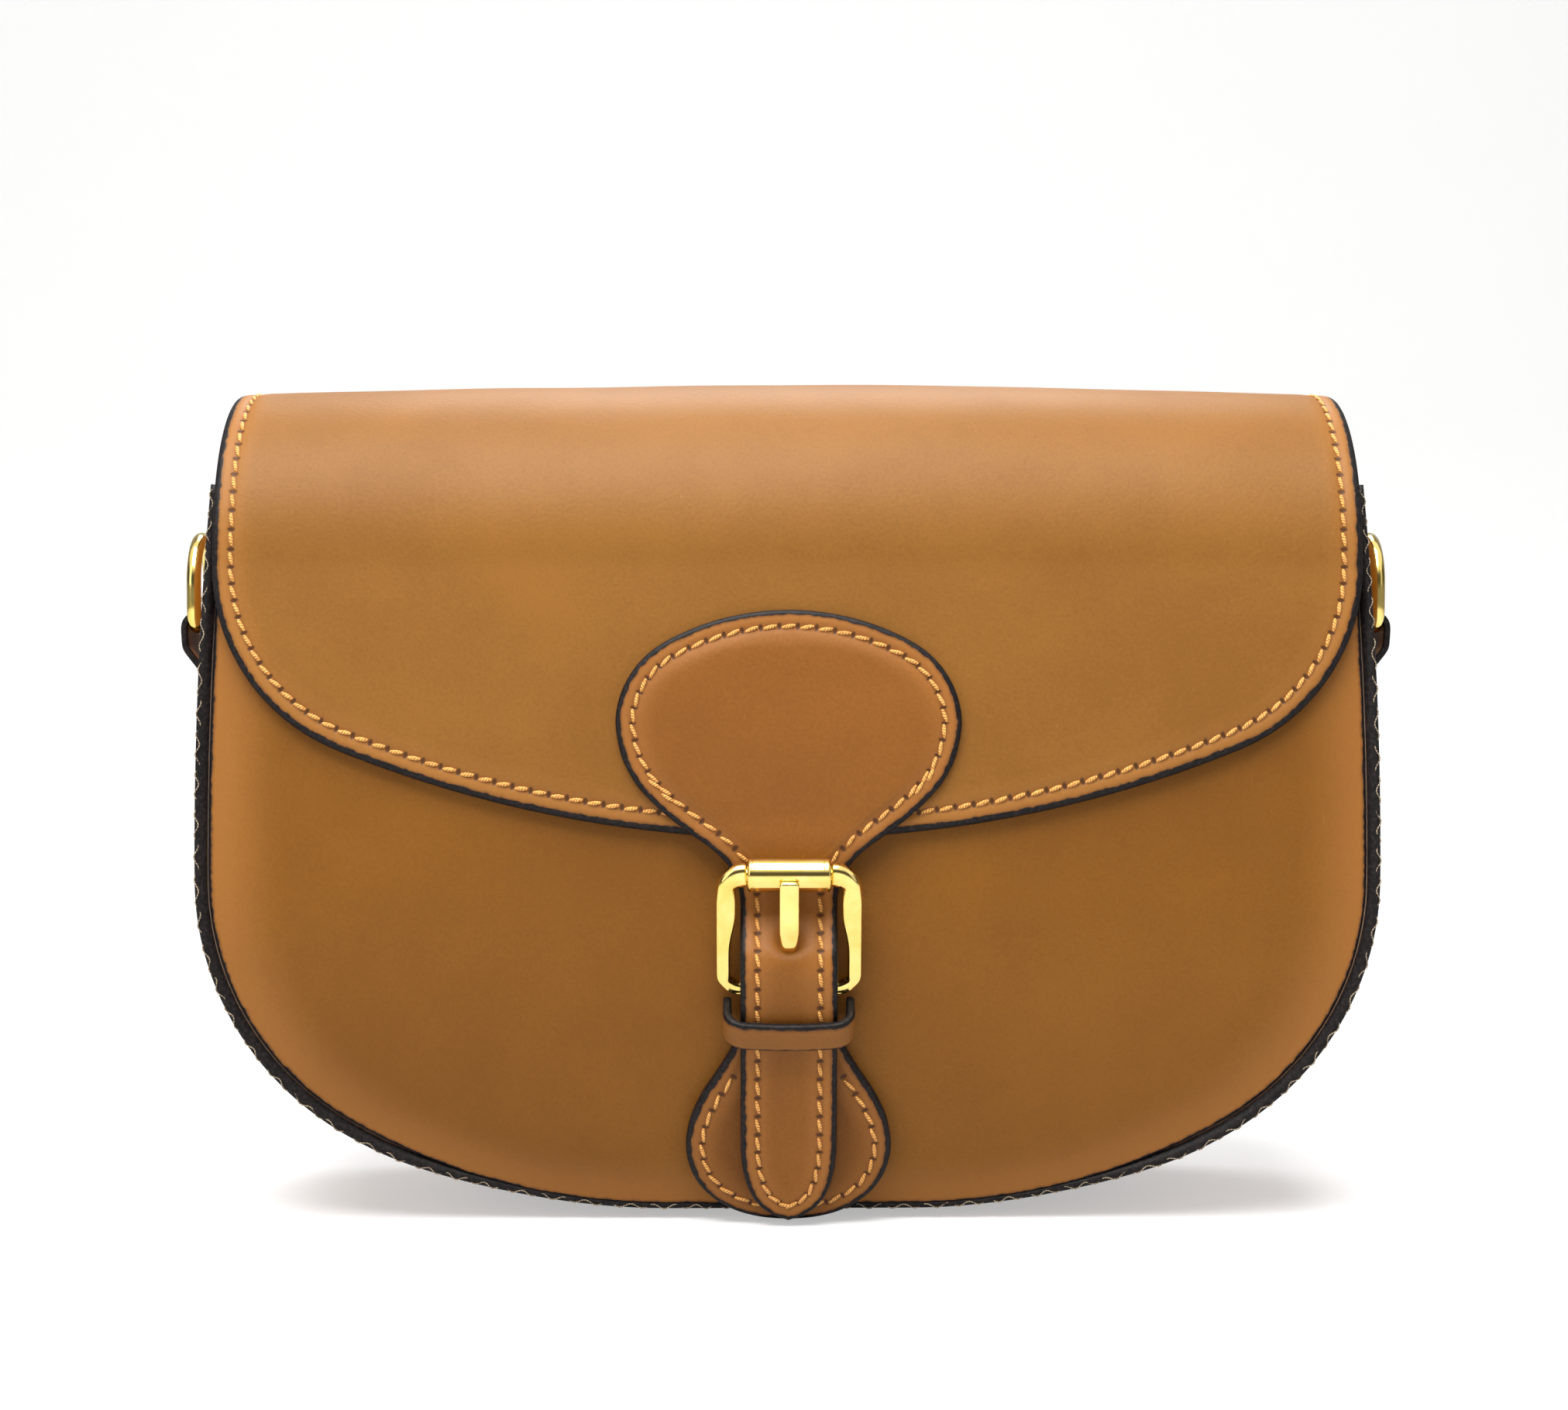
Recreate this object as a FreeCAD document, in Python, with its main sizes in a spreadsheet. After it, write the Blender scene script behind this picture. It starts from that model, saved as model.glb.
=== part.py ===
import FreeCAD, Part
import math
import os
import Sketcher

# A leather saddle-shaped sling bag. Millimetres, +Z up, X along the width, the front faces -Y.
# The origin is on the surface the bag stands on, under the middle of its base.

SIZES = (
    # body shell
    ("body_width", 237.0, "widest outside width of the gusset"),
    ("gusset_top_width", 232.0, "outside width at the gusset's top ends"),
    ("gusset_top_height", 150.0, "height of the gusset's top ends"),
    ("widest_height", 71.0, "height of the widest place"),
    ("corner_radius", 62.0, "outside radius of the lower corners"),
    ("flat_base", 50.0, "straight middle stretch of the base"),
    ("mouth_height", 134.0, "top of the panels, where the flap's fold starts"),
    ("belly_height", 65.0, "height of the deepest place"),
    ("front_reach", 40.0, "front panel's furthest point from the middle"),
    ("front_top_setback", 5.0, "how far the front leans back at the mouth"),
    ("front_base_setback", 12.0, "how far the front tucks in at the base"),
    ("back_reach", 37.0, "back panel's furthest point from the middle"),
    ("back_top_setback", 2.0, "how far the back leans in at the mouth"),
    ("back_base_setback", 6.0, "how far the back tucks in at the base"),
    ("gusset_thickness", 2.6, "gusset leather"),
    ("panel_thickness", 2.0, "panel leather"),
    ("lining_thickness", 0.8, "suede lining"),
    ("seam_gap", 0.1, "gap between pieces sewn together"),
    # flap
    ("flap_width", 230.0, "width of the flap"),
    ("flap_corner_radius", 40.0, "flap's lower corners"),
    ("flap_edge_height", 79.3, "lowest point of the flap's edge"),
    ("flap_thickness", 1.8, "flap leather"),
    ("flap_lining_thickness", 0.8, "flap lining"),
    ("moving_gap", 0.3, "gap between a moving layer and what it lies on"),
    ("fold_clearance", 1.5, "gap between the gusset's ends and the flap's fold"),
    ("anchor_bottom_height", 100.0, "lower edge of the flap leather on the back"),
    ("flap_hinge_height", 132.0, "where the flap starts to bend"),
    ("bend_gap", 2.0, "distance from a bend's axis to the leather each side"),
    # tongue: keyhole patch on the flap and the strap below it
    ("patch_width", 69.0, "keyhole patch"),
    ("patch_top_height", 125.0, "top of the keyhole patch"),
    ("patch_wide_height", 102.0, "widest place of the keyhole patch"),
    ("patch_shoulder_radius", 19.0, "upper corners of the patch"),
    ("patch_flank_radius", 23.0, "lower flanks of the patch"),
    ("tongue_bend_height", 80.0, "where the tongue flexes below the flap"),
    ("tongue_bend_gap", 1.5, "distance from that axis to the leather each side"),
    ("tongue_thickness", 1.8, "tongue leather"),
    ("strap_width", 19.2, "strap through the buckle"),
    ("strap_backing_thickness", 1.2, "second layer of the strap"),
    ("strap_tip_height", 1.0, "point of the strap"),
    ("strap_point_length", 10.5, "pointed end of the strap"),
    # pear-shaped base that carries the buckle
    ("pear_width", 41.6, "widest place of the pear base"),
    ("pear_wide_height", 16.5, "height of that place"),
    ("pear_bottom_height", 0.4, "lower end of the pear base"),
    ("pear_side_radius", 16.0, "rounded sides of the pear base"),
    ("pear_shoulder_height", 24.5, "where the sides turn in to the neck"),
    ("pear_neck_width", 18.8, "neck under the keeper"),
    ("pear_neck_height", 36.0, "lower end of the neck"),
    ("pear_thickness", 1.8, "pear leather"),
    ("pear_backing_thickness", 1.3, "second layer of the pear"),
    ("fold_thickness", 1.3, "leather round the buckle's heel bar"),
    ("fold_end_height", 43.0, "where the fold comes down to the pear"),
    # buckle
    ("heel_height", 50.0, "heel bar's centre"),
    ("heel_standoff", 3.2, "heel bar's centre to the panel"),
    ("buckle_tilt", 14.0, "lean of the buckle away from the bag, degrees"),
    ("buckle_width", 28.8, "outside width of the frame"),
    ("buckle_length", 23.5, "heel bar's centre to the roller's centre"),
    ("buckle_inner_low", 23.2, "frame opening beside the strap"),
    ("buckle_inner_high", 20.8, "frame opening at the roller"),
    ("buckle_bar", 3.0, "diameter of the heel bar and of the bar in the roller"),
    ("buckle_thickness", 3.6, "frame, front to back"),
    ("buckle_foot", 3.4, "frame at the ends of the heel bar"),
    ("buckle_top_bar", 4.8, "frame beside the roller"),
    ("buckle_top_radius", 5.6, "upper outer corners of the frame"),
    ("buckle_low_radius", 4.8, "lower outer corners of the frame"),
    ("buckle_inner_radius", 2.2, "upper inner corners of the frame"),
    ("buckle_bar_overlap", 1.0, "how far both bars run into the frame"),
    ("running_clearance", 0.06, "radial clearance of turning fits"),
    ("roller_diameter", 6.8, "roller"),
    ("roller_length", 16.4, "roller"),
    ("roller_bore_gap", 0.15, "frame's upper bar to the roller's bore"),
    ("roller_end_step", 0.4, "roller's stepped ends"),
    ("roller_end_gap", 0.25, "roller's end to the frame"),
    ("prong_width", 4.1, "prong"),
    ("prong_thickness", 2.0, "prong"),
    ("prong_bevel", 0.55, "prong's bevelled front edges"),
    ("prong_overhang", 0.3, "prong's tip past the roller's centre"),
    ("prong_slot_side_gap", 0.5, "slot's edge to the prong"),
    ("prong_slot_bottom_height", 48.0, "lower end of the strap's slot"),
    ("prong_slot_top_height", 62.0, "upper end of the strap's slot"),
    # keeper
    ("keeper_height", 5.8, "keeper loop's band"),
    ("keeper_centre_height", 41.0, "middle of the keeper"),
    ("keeper_thickness", 1.7, "keeper leather"),
    ("keeper_side_gap", 1.8, "strap's edge to the keeper"),
    ("keeper_corner_radius", 3.5, "rounded front corners of the keeper"),
    ("keeper_front_standoff", 9.6, "inside of the keeper's front to the panel"),
    ("keeper_leg_length", 5.0, "keeper's sides behind its front band"),
    ("keeper_tilt", 28.0, "lean of the keeper, degrees"),
    # magnetic snap behind the pear base
    ("snap_height", 16.0, "snap's centre"),
    ("snap_diameter", 14.0, "socket and stud plates"),
    ("snap_plate_thickness", 0.8, "stud's plate"),
    ("stud_diameter", 5.0, "stud"),
    ("stud_reach", 1.4, "stud's depth in the socket"),
    ("socket_bore", 8.0, "socket's hole"),
    ("snap_seat_gap", 0.7, "leather's hole round the snap"),
    ("washer_diameter", 17.0, "washers"),
    ("washer_thickness", 0.8, "socket's washer"),
    ("stud_washer_thickness", 0.3, "stud's washer"),
    # rings for the shoulder strap
    ("ring_wire", 3.0, "wire diameter of the D-ring"),
    ("ring_width", 22.6, "outside width of the D-ring"),
    ("ring_height", 22.0, "outside height of the D-ring"),
    ("ring_top_radius", 8.6, "wire centre line, upper corners"),
    ("ring_base_radius", 2.4, "wire centre line, lower corners"),
    ("ring_bar_height", 121.0, "ring bar's centre"),
    ("ring_bar_standoff", 5.5, "ring bar's centre to the gusset"),
    ("tab_width", 15.6, "ring tab"),
    ("tab_thickness", 1.6, "ring tab leather"),
    ("tab_bottom_height", 92.0, "lower end of the ring tab"),
    ("tab_merge_height", 112.0, "where the tab's two layers meet"),
    ("ring_tab_clearance", 0.08, "radial clearance of the ring in its tab"),
)


class Length:
    """A length that carries both its number and the sheet formula that gives it."""

    def __init__(self, number, formula):
        self.number = float(number)
        self.formula = formula

    def __add__(self, other):
        other = as_length(other)
        return Length(self.number + other.number, f"({self.formula} + {other.formula})")

    def __sub__(self, other):
        other = as_length(other)
        return Length(self.number - other.number, f"({self.formula} - {other.formula})")

    def __mul__(self, other):
        other = as_length(other)
        return Length(self.number * other.number, f"({self.formula} * {other.formula})")

    def __truediv__(self, other):
        other = as_length(other)
        return Length(self.number / other.number, f"({self.formula} / {other.formula})")

    def __neg__(self):
        return Length(-self.number, f"(0 - {self.formula})")

    __radd__ = __add__


def as_length(value):
    return value if isinstance(value, Length) else Length(value, f"({float(value)!r})")


def root(square):
    return Length(math.sqrt(square.number), f"sqrt({square.formula})")


def leg(hypotenuse, other_leg):
    """Third side of a right triangle."""
    return root(hypotenuse * hypotenuse - other_leg * other_leg)


def sine(angle):
    return Length(math.sin(math.radians(angle.number)), f"sin({angle.formula} * 1 deg)")


def cosine(angle):
    return Length(math.cos(math.radians(angle.number)), f"cos({angle.formula} * 1 deg)")


doc = FreeCAD.newDocument("SlingBag")
sheet = doc.addObject("Spreadsheet::Sheet", "Sizes")
for row, (alias, number, note) in enumerate(SIZES, start=1):
    sheet.set(f"A{row}", alias)
    sheet.set(f"B{row}", str(number))
    sheet.setAlias(f"B{row}", alias)
    sheet.set(f"C{row}", note)
doc.recompute()


def size(alias):
    return Length(sheet.get(alias), f"Sizes.{alias}")


ZERO = as_length(0)
SUB_PARTS = []


# ---------------------------------------------------------------- sketches and features

def new_body(label):
    body = doc.addObject("PartDesign::Body", label)
    body.Label = label
    SUB_PARTS.append(body)
    return body


def corner(across, up, centre=None, radius=None):
    """A sketch corner; centre and radius describe an arc from here to the next corner."""
    return as_length(across), as_length(up), centre, radius


def add_loop(sketch, corners):
    """Adds a closed loop of lines and arcs and binds every corner to the sheet."""
    edges = []
    for here, after in zip(corners, corners[1:] + corners[:1]):
        start = FreeCAD.Vector(here[0].number, here[1].number, 0)
        end = FreeCAD.Vector(after[0].number, after[1].number, 0)
        if here[3] is None:
            edges.append((sketch.addGeometry(Part.LineSegment(start, end), False), 1, 2))
            continue
        middle = FreeCAD.Vector(here[2][0].number, here[2][1].number, 0)
        first = math.atan2(start.y - middle.y, start.x - middle.x)
        last = math.atan2(end.y - middle.y, end.x - middle.x)
        turn = (last - first) % (2 * math.pi)
        circle = Part.Circle(middle, FreeCAD.Vector(0, 0, 1), here[3].number)
        if turn < math.pi:
            arc = Part.ArcOfCircle(circle, first, first + turn)
            edges.append((sketch.addGeometry(arc, False), 1, 2))
        else:
            arc = Part.ArcOfCircle(circle, last, last + 2 * math.pi - turn)
            edges.append((sketch.addGeometry(arc, False), 2, 1))
    for number, (edge, start_point, end_point) in enumerate(edges):
        across, up, _, radius = corners[number]
        bind(sketch, ("DistanceX", -1, 1, edge, start_point), across)
        bind(sketch, ("DistanceY", -1, 1, edge, start_point), up)
        if radius is not None:
            bind(sketch, ("Radius", edge), radius)
        next_edge, next_start, _ = edges[(number + 1) % len(edges)]
        sketch.addConstraint(Sketcher.Constraint("Coincident", edge, end_point, next_edge, next_start))


def add_circle(sketch, across, up, radius):
    across, up = as_length(across), as_length(up)
    middle = FreeCAD.Vector(across.number, up.number, 0)
    circle = Part.Circle(middle, FreeCAD.Vector(0, 0, 1), radius.number)
    edge = sketch.addGeometry(circle, False)
    bind(sketch, ("DistanceX", -1, 1, edge, 3), across)
    bind(sketch, ("DistanceY", -1, 1, edge, 3), up)
    bind(sketch, ("Radius", edge), radius)


def bind(sketch, constraint, length):
    index = sketch.addConstraint(Sketcher.Constraint(*constraint, length.number))
    sketch.setExpression(f"Constraints[{index}]", length.formula)


def new_sketch(body, plane_role, name, loops=(), circles=()):
    sketch = body.newObject("Sketcher::SketchObject", f"{body.Label}_{name}")
    plane = next(item for item in body.Origin.OriginFeatures if item.Role == plane_role)
    sketch.AttachmentSupport = [(plane, "")]
    sketch.MapMode = "FlatFace"
    for loop in loops:
        add_loop(sketch, loop)
    for across, up, radius in circles:
        add_circle(sketch, across, up, radius)
    return sketch


def pad(body, sketch, length):
    """Pads a sketch to both sides of its plane; length is the whole thickness."""
    feature = body.newObject("PartDesign::Pad", sketch.Name + "_pad")
    feature.Profile = sketch
    feature.SideType = "Symmetric"
    feature.Length = length.number
    feature.setExpression("Length", length.formula)
    doc.recompute()
    return feature


def cut_through(body, sketch, front_only=False):
    """Cuts a sketch through the whole body, or through what lies in front of its plane."""
    doc.recompute()
    volume_before = body.Shape.Volume
    feature = body.newObject("PartDesign::Pocket", sketch.Name + "_cut")
    feature.Profile = sketch
    feature.Type = "ThroughAll"
    if front_only:
        feature.Reversed = True
    else:
        feature.SideType = "Symmetric"
    doc.recompute()
    if not body.Shape.Volume < volume_before:
        raise RuntimeError(f"{feature.Name} cuts nothing")


def place(body, across, back, up, tilt=None):
    """Moves a body, and leans its top towards the front by tilt degrees."""
    if tilt is not None:
        body.Placement = FreeCAD.Placement(
            FreeCAD.Vector(), FreeCAD.Rotation(FreeCAD.Vector(1, 0, 0), tilt.number))
        body.setExpression("Placement.Rotation.Angle", f"{tilt.formula} * 1 deg")
    for name, length in (("x", across), ("y", back), ("z", up)):
        length = as_length(length)
        body.setExpression(f"Placement.Base.{name}", length.formula)
    doc.recompute()


def mirrored(right_half):
    """Closes a loop from its right half, given from the top down to the middle of the base."""
    loop = list(right_half)
    for index in range(len(right_half) - 1, -1, -1):
        across, up, _, _ = right_half[index]
        _, _, centre, radius = right_half[index - 1] if index else (None, None, None, None)
        if centre is not None:
            centre = (-centre[0], centre[1])
        loop.append((-across, up, centre, radius))
    return loop


# ---------------------------------------------------------------- outlines seen from the front

HALF_WIDTH = size("body_width") / 2


def body_outline(inset, top_height):
    """The body's outline, moved inwards by inset and cut off at top_height."""
    inset, top_height = as_length(inset), as_length(top_height)
    narrowing = (size("body_width") - size("gusset_top_width")) / 2
    rise = size("gusset_top_height") - size("widest_height")
    side_radius = (rise * rise + narrowing * narrowing) / (narrowing * 2)
    side_centre = (HALF_WIDTH - side_radius, size("widest_height"))
    top_across = side_centre[0] + leg(side_radius - inset, top_height - size("widest_height"))
    corner_centre = (HALF_WIDTH - size("corner_radius"), size("widest_height"))
    half_flat = size("flat_base") / 2
    spread = corner_centre[0] - half_flat
    base_radius = (corner_centre[1] * corner_centre[1] + spread * spread
                   - size("corner_radius") * size("corner_radius")) \
        / ((corner_centre[1] - size("corner_radius")) * 2)
    base_centre = (half_flat, base_radius)
    share = (base_radius - inset) / (base_radius - size("corner_radius"))
    meet_across = base_centre[0] + (corner_centre[0] - base_centre[0]) * share
    meet_up = base_centre[1] + (corner_centre[1] - base_centre[1]) * share
    return mirrored([
        corner(top_across, top_height, side_centre, side_radius - inset),
        corner(HALF_WIDTH - inset, size("widest_height"), corner_centre,
               size("corner_radius") - inset),
        corner(meet_across, meet_up, base_centre, base_radius - inset),
        corner(half_flat, inset),
    ])


def flap_outline():
    half = size("flap_width") / 2
    radius = size("flap_corner_radius")
    corner_centre = (half - radius, size("mouth_height"))
    rise = size("flap_edge_height") - corner_centre[1]
    edge_radius = (corner_centre[0] * corner_centre[0] + rise * rise - radius * radius) \
        / ((rise + radius) * -2)
    edge_centre = (ZERO, size("flap_edge_height") + edge_radius)
    share = edge_radius / (edge_radius - radius)
    meet_across = corner_centre[0] * share
    meet_up = edge_centre[1] + (corner_centre[1] - edge_centre[1]) * share
    above = size("mouth_height") + size("front_reach") * 2
    return [
        corner(half, above),
        corner(half, size("mouth_height"), corner_centre, radius),
        corner(meet_across, meet_up, edge_centre, edge_radius),
        corner(ZERO, size("flap_edge_height"), edge_centre, edge_radius),
        corner(-meet_across, meet_up, (-corner_centre[0], corner_centre[1]), radius),
        corner(-half, size("mouth_height")),
        corner(-half, above),
    ]


def patch_outline():
    """Keyhole patch: flat-topped round head whose flanks run in towards the strap."""
    half = size("patch_width") / 2
    shoulder = size("patch_shoulder_radius")
    flank = size("patch_flank_radius")
    wide = size("patch_wide_height")
    shoulder_centre = (half - shoulder, wide)
    rise = size("patch_top_height") - wide
    crown_radius = (shoulder_centre[0] * shoulder_centre[0] + rise * rise
                    - shoulder * shoulder) / ((rise - shoulder) * 2)
    crown_centre = (ZERO, size("patch_top_height") - crown_radius)
    share = crown_radius / (crown_radius - shoulder)
    meet_across = shoulder_centre[0] * share
    meet_up = crown_centre[1] + (wide - crown_centre[1]) * share
    flank_centre = (half - flank, wide)
    bottom = size("tongue_bend_height") + size("tongue_bend_gap")
    bottom_across = flank_centre[0] + leg(flank, wide - bottom)
    return [
        corner(ZERO, size("patch_top_height"), crown_centre, crown_radius),
        corner(meet_across, meet_up, shoulder_centre, shoulder),
        corner(half, wide, flank_centre, flank),
        corner(bottom_across, bottom),
        corner(-bottom_across, bottom, (-flank_centre[0], wide), flank),
        corner(-half, wide, (-shoulder_centre[0], wide), shoulder),
        corner(-meet_across, meet_up, crown_centre, crown_radius),
    ]


def strap_outline():
    half = size("strap_width") / 2
    tip = size("strap_tip_height")
    length = size("strap_point_length")
    shoulder = tip + length
    radius = (length * length + half * half) / (half * 2)
    above = size("mouth_height")
    return [
        corner(half, above),
        corner(half, shoulder, (half - radius, shoulder), radius),
        corner(ZERO, tip, (radius - half, shoulder), radius),
        corner(-half, shoulder),
        corner(-half, above),
    ]


def pear_outline():
    radius = size("pear_side_radius")
    side_centre = (size("pear_width") / 2 - radius, size("pear_wide_height"))
    bottom = size("pear_bottom_height")
    rise = side_centre[1] - bottom
    base_radius = (side_centre[0] * side_centre[0] + rise * rise - radius * radius) \
        / ((rise - radius) * 2)
    base_centre = (ZERO, bottom + base_radius)
    share = base_radius / (base_radius - radius)
    meet_across = side_centre[0] * share
    meet_up = base_centre[1] + (side_centre[1] - base_centre[1]) * share
    shoulder = size("pear_shoulder_height")
    shoulder_across = side_centre[0] + leg(radius, shoulder - side_centre[1])
    neck = size("pear_neck_width") / 2
    above = size("belly_height")
    return [
        corner(neck, above),
        corner(neck, size("pear_neck_height")),
        corner(shoulder_across, shoulder, side_centre, radius),
        corner(meet_across, meet_up, base_centre, base_radius),
        corner(ZERO, bottom, base_centre, base_radius),
        corner(-meet_across, meet_up, (-side_centre[0], side_centre[1]), radius),
        corner(-shoulder_across, shoulder),
        corner(-neck, size("pear_neck_height")),
        corner(-neck, above),
    ]


def slot_outline(half_width, bottom, top):
    return [corner(half_width, bottom), corner(half_width, top), corner(-half_width, top),
            corner(-half_width, bottom)]


def outside_of(outline):
    """Loops of a region round an outline: a wide rectangle with the outline as its hole."""
    across = size("body_width")
    above = size("mouth_height") * 3
    frame = [corner(across, -above), corner(across, above), corner(-across, above),
             corner(-across, -above)]
    return [frame, outline]


# ---------------------------------------------------------------- profiles seen from the side

def curve_radius(setback, height):
    return (height * height + setback * setback) / (setback * 2)


UPPER_HEIGHT = size("mouth_height") - size("belly_height")
LOWER_HEIGHT = size("belly_height")


class Face:
    """The front or back face's curve: two arcs that meet upright at the belly."""

    def __init__(self, reach, top_setback, base_setback, outwards):
        self.outwards = outwards
        self.reach = reach
        self.upper = curve_radius(top_setback, UPPER_HEIGHT)
        self.lower = curve_radius(base_setback, LOWER_HEIGHT)

    def centre(self, radius):
        return ((self.reach - radius) * self.outwards, size("belly_height"))

    def back(self, up, stand_off):
        """Y of the curve moved outwards by stand_off, at height up."""
        up = as_length(up)
        radius = self.upper if up.number > size("belly_height").number else self.lower
        reach = self.reach - radius + leg(radius + stand_off, up - size("belly_height"))
        return reach * self.outwards

    def line(self, bottom, top, stand_off):
        """Corners up the curve from bottom to top; the last corner starts no arc."""
        stand_off, bottom, top = as_length(stand_off), as_length(bottom), as_length(top)
        belly = size("belly_height")
        upper = (self.centre(self.upper), self.upper + stand_off)
        lower = (self.centre(self.lower), self.lower + stand_off)
        start = lower if bottom.number < belly.number else upper
        corners = [corner(self.back(bottom, stand_off), bottom, *start)]
        if bottom.number < belly.number < top.number:
            corners.append(corner((self.reach + stand_off) * self.outwards, belly, *upper))
        corners.append(corner(self.back(top, stand_off), top))
        return corners

    def band(self, bottom, top, inner, outer):
        """A layer between two stand-offs from the curve."""
        return self.line(bottom, top, outer) + backwards(self.line(bottom, top, inner))


def backwards(corners):
    """The same chain of corners walked the other way."""
    flipped = []
    for index in range(len(corners) - 1, -1, -1):
        across, up, _, _ = corners[index]
        centre, radius = corners[index - 1][2:] if index else (None, None)
        flipped.append((across, up, centre, radius))
    return flipped


FRONT = Face(size("front_reach"), size("front_top_setback"), size("front_base_setback"), -1)
BACK = Face(size("back_reach"), size("back_top_setback"), size("back_base_setback"), 1)


def leather(label, profile, outline, width=None):
    """A shaped layer: its side profile padded across, then cut to its outline."""
    body = new_body(label)
    pad(body, new_sketch(body, "YZ_Plane", "profile", [profile]), width or size("body_width"))
    cut_through(body, new_sketch(body, "XZ_Plane", "outline", outside_of(outline)))
    return body


# ---------------------------------------------------------------- body shell

def ends_profile(stand_off, top):
    """Loops outside both faces; above the mouth they follow the inside of the flap's fold."""
    mouth = size("mouth_height")
    fold = fold_radius() - size("fold_clearance")
    rise = top - mouth
    far = size("body_width")
    loops = []
    for face in (FRONT, BACK):
        line = face.line(ZERO, mouth, stand_off)[:-1]
        shoulder = corner(fold_middle() + fold * face.outwards, mouth,
                          (fold_middle(), mouth), fold)
        tip = corner(fold_middle() + leg(fold, rise) * face.outwards, top)
        outer = [corner(far * face.outwards, top), corner(far * face.outwards, ZERO)]
        level = corner(face.back(mouth, stand_off), mouth)
        loops.append(line + [level, shoulder, tip] + outer)
    return loops


def fold_radius():
    """Inside radius of the flap's fold over the mouth."""
    mouth = size("mouth_height")
    gap = size("moving_gap")
    return (BACK.back(mouth, gap) - FRONT.back(mouth, gap)) / 2


def fold_middle():
    mouth = size("mouth_height")
    gap = size("moving_gap")
    return (BACK.back(mouth, gap) + FRONT.back(mouth, gap)) / 2


def build_gusset():
    top = size("gusset_top_height")
    body = new_body("gusset")
    outer = body_outline(0, top)
    inner = body_outline(size("gusset_thickness"), top)
    ring = outer + backwards(inner)
    pad(body, new_sketch(body, "XZ_Plane", "outline", [ring]), size("body_width"))
    cut_through(body, new_sketch(body, "YZ_Plane", "ends", ends_profile(ZERO, top)))


def build_gusset_lining():
    top = size("mouth_height")
    body = new_body("gusset_lining")
    start = size("gusset_thickness") + size("seam_gap")
    ring = body_outline(start, top) + backwards(
        body_outline(start + size("lining_thickness"), top))
    pad(body, new_sketch(body, "XZ_Plane", "outline", [ring]), size("body_width"))
    inside = -(size("panel_thickness") + size("seam_gap"))
    far = size("body_width")
    loops = []
    for face in (FRONT, BACK):
        loops.append(face.line(ZERO, top, inside)
                     + [corner(far * face.outwards, top), corner(far * face.outwards, ZERO)])
    cut_through(body, new_sketch(body, "YZ_Plane", "ends", loops))


def build_panels():
    inset = size("gusset_thickness") + size("seam_gap")
    mouth = size("mouth_height")
    for label, face in (("front_panel", FRONT), ("back_panel", BACK)):
        profile = face.band(ZERO, mouth, -size("panel_thickness"), 0)
        panel = leather(label, profile, body_outline(inset, mouth))
        if face is FRONT:
            seat = size("snap_diameter") / 2 + size("snap_seat_gap")
            cut_hole(panel, "snap_seat", size("snap_height"), seat)
    inset = inset + size("lining_thickness") + size("seam_gap")
    outer = -(size("panel_thickness") + size("seam_gap"))
    for label, face in (("front_lining", FRONT), ("back_lining", BACK)):
        profile = face.band(ZERO, mouth, outer - size("lining_thickness"), outer)
        lining = leather(label, profile, body_outline(inset, mouth))
        if face is FRONT:
            seat = size("washer_diameter") / 2 + size("snap_seat_gap")
            cut_hole(lining, "washer_seat", size("snap_height"), seat)


def cut_hole(body, name, up, radius):
    sketch = new_sketch(body, "XZ_Plane", name, [], [(ZERO, up, radius)])
    cut_through(body, sketch, front_only=True)


# ---------------------------------------------------------------- flap

def flap_band(inner, outer):
    """Side profile of a flap layer: up the front, over the fold and down to the hinge."""
    mouth = size("mouth_height")
    middle = fold_middle()
    radius = fold_radius() - size("moving_gap")
    sides = []
    for stand_off in (outer, inner):
        centre = (middle, mouth)
        reach = radius + stand_off
        line = FRONT.line(size("flap_edge_height"), mouth, stand_off)[:-1]
        sides.append(line + [
            corner(middle - reach, mouth, centre, reach),
            corner(middle, mouth + reach, centre, reach),
            corner(middle + reach, mouth),
        ])
    return sides[0] + backwards(sides[1])


def build_flap():
    inner = size("moving_gap")
    middle = inner + size("flap_lining_thickness")
    outer = middle + size("flap_thickness")
    leather("flap_lining", flap_band(inner, middle), flap_outline())
    leather("flap_outer", flap_band(middle, outer), flap_outline())
    total = outer - inner
    anchor = new_body("flap_anchor")
    top = size("flap_hinge_height") - size("bend_gap")
    gap = size("seam_gap")
    profile = BACK.band(size("anchor_bottom_height"), top, gap, gap + total)
    pad(anchor, new_sketch(anchor, "YZ_Plane", "profile", [profile]), size("flap_width"))


def flap_surface():
    return size("moving_gap") + size("flap_lining_thickness") + size("flap_thickness")


def build_patch():
    surface = flap_surface()
    bottom = size("tongue_bend_height") + size("tongue_bend_gap")
    profile = FRONT.band(bottom, size("patch_top_height"), surface,
                         surface + size("tongue_thickness"))
    leather("tongue_patch", profile, patch_outline())


# ---------------------------------------------------------------- buckle side of the tongue

HEEL_BACK = FRONT.back(size("heel_height"), size("heel_standoff"))
PRONG_SLOT_HALF = size("prong_width") / 2 + size("prong_slot_side_gap")


def from_heel(along, out):
    """Point given along the buckle from its heel bar, and out from the buckle's plane."""
    lean_sine = sine(size("buckle_tilt"))
    lean_cosine = cosine(size("buckle_tilt"))
    back = HEEL_BACK - along * lean_sine - out * lean_cosine
    up = size("heel_height") + along * lean_cosine - out * lean_sine
    return back, up


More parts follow.
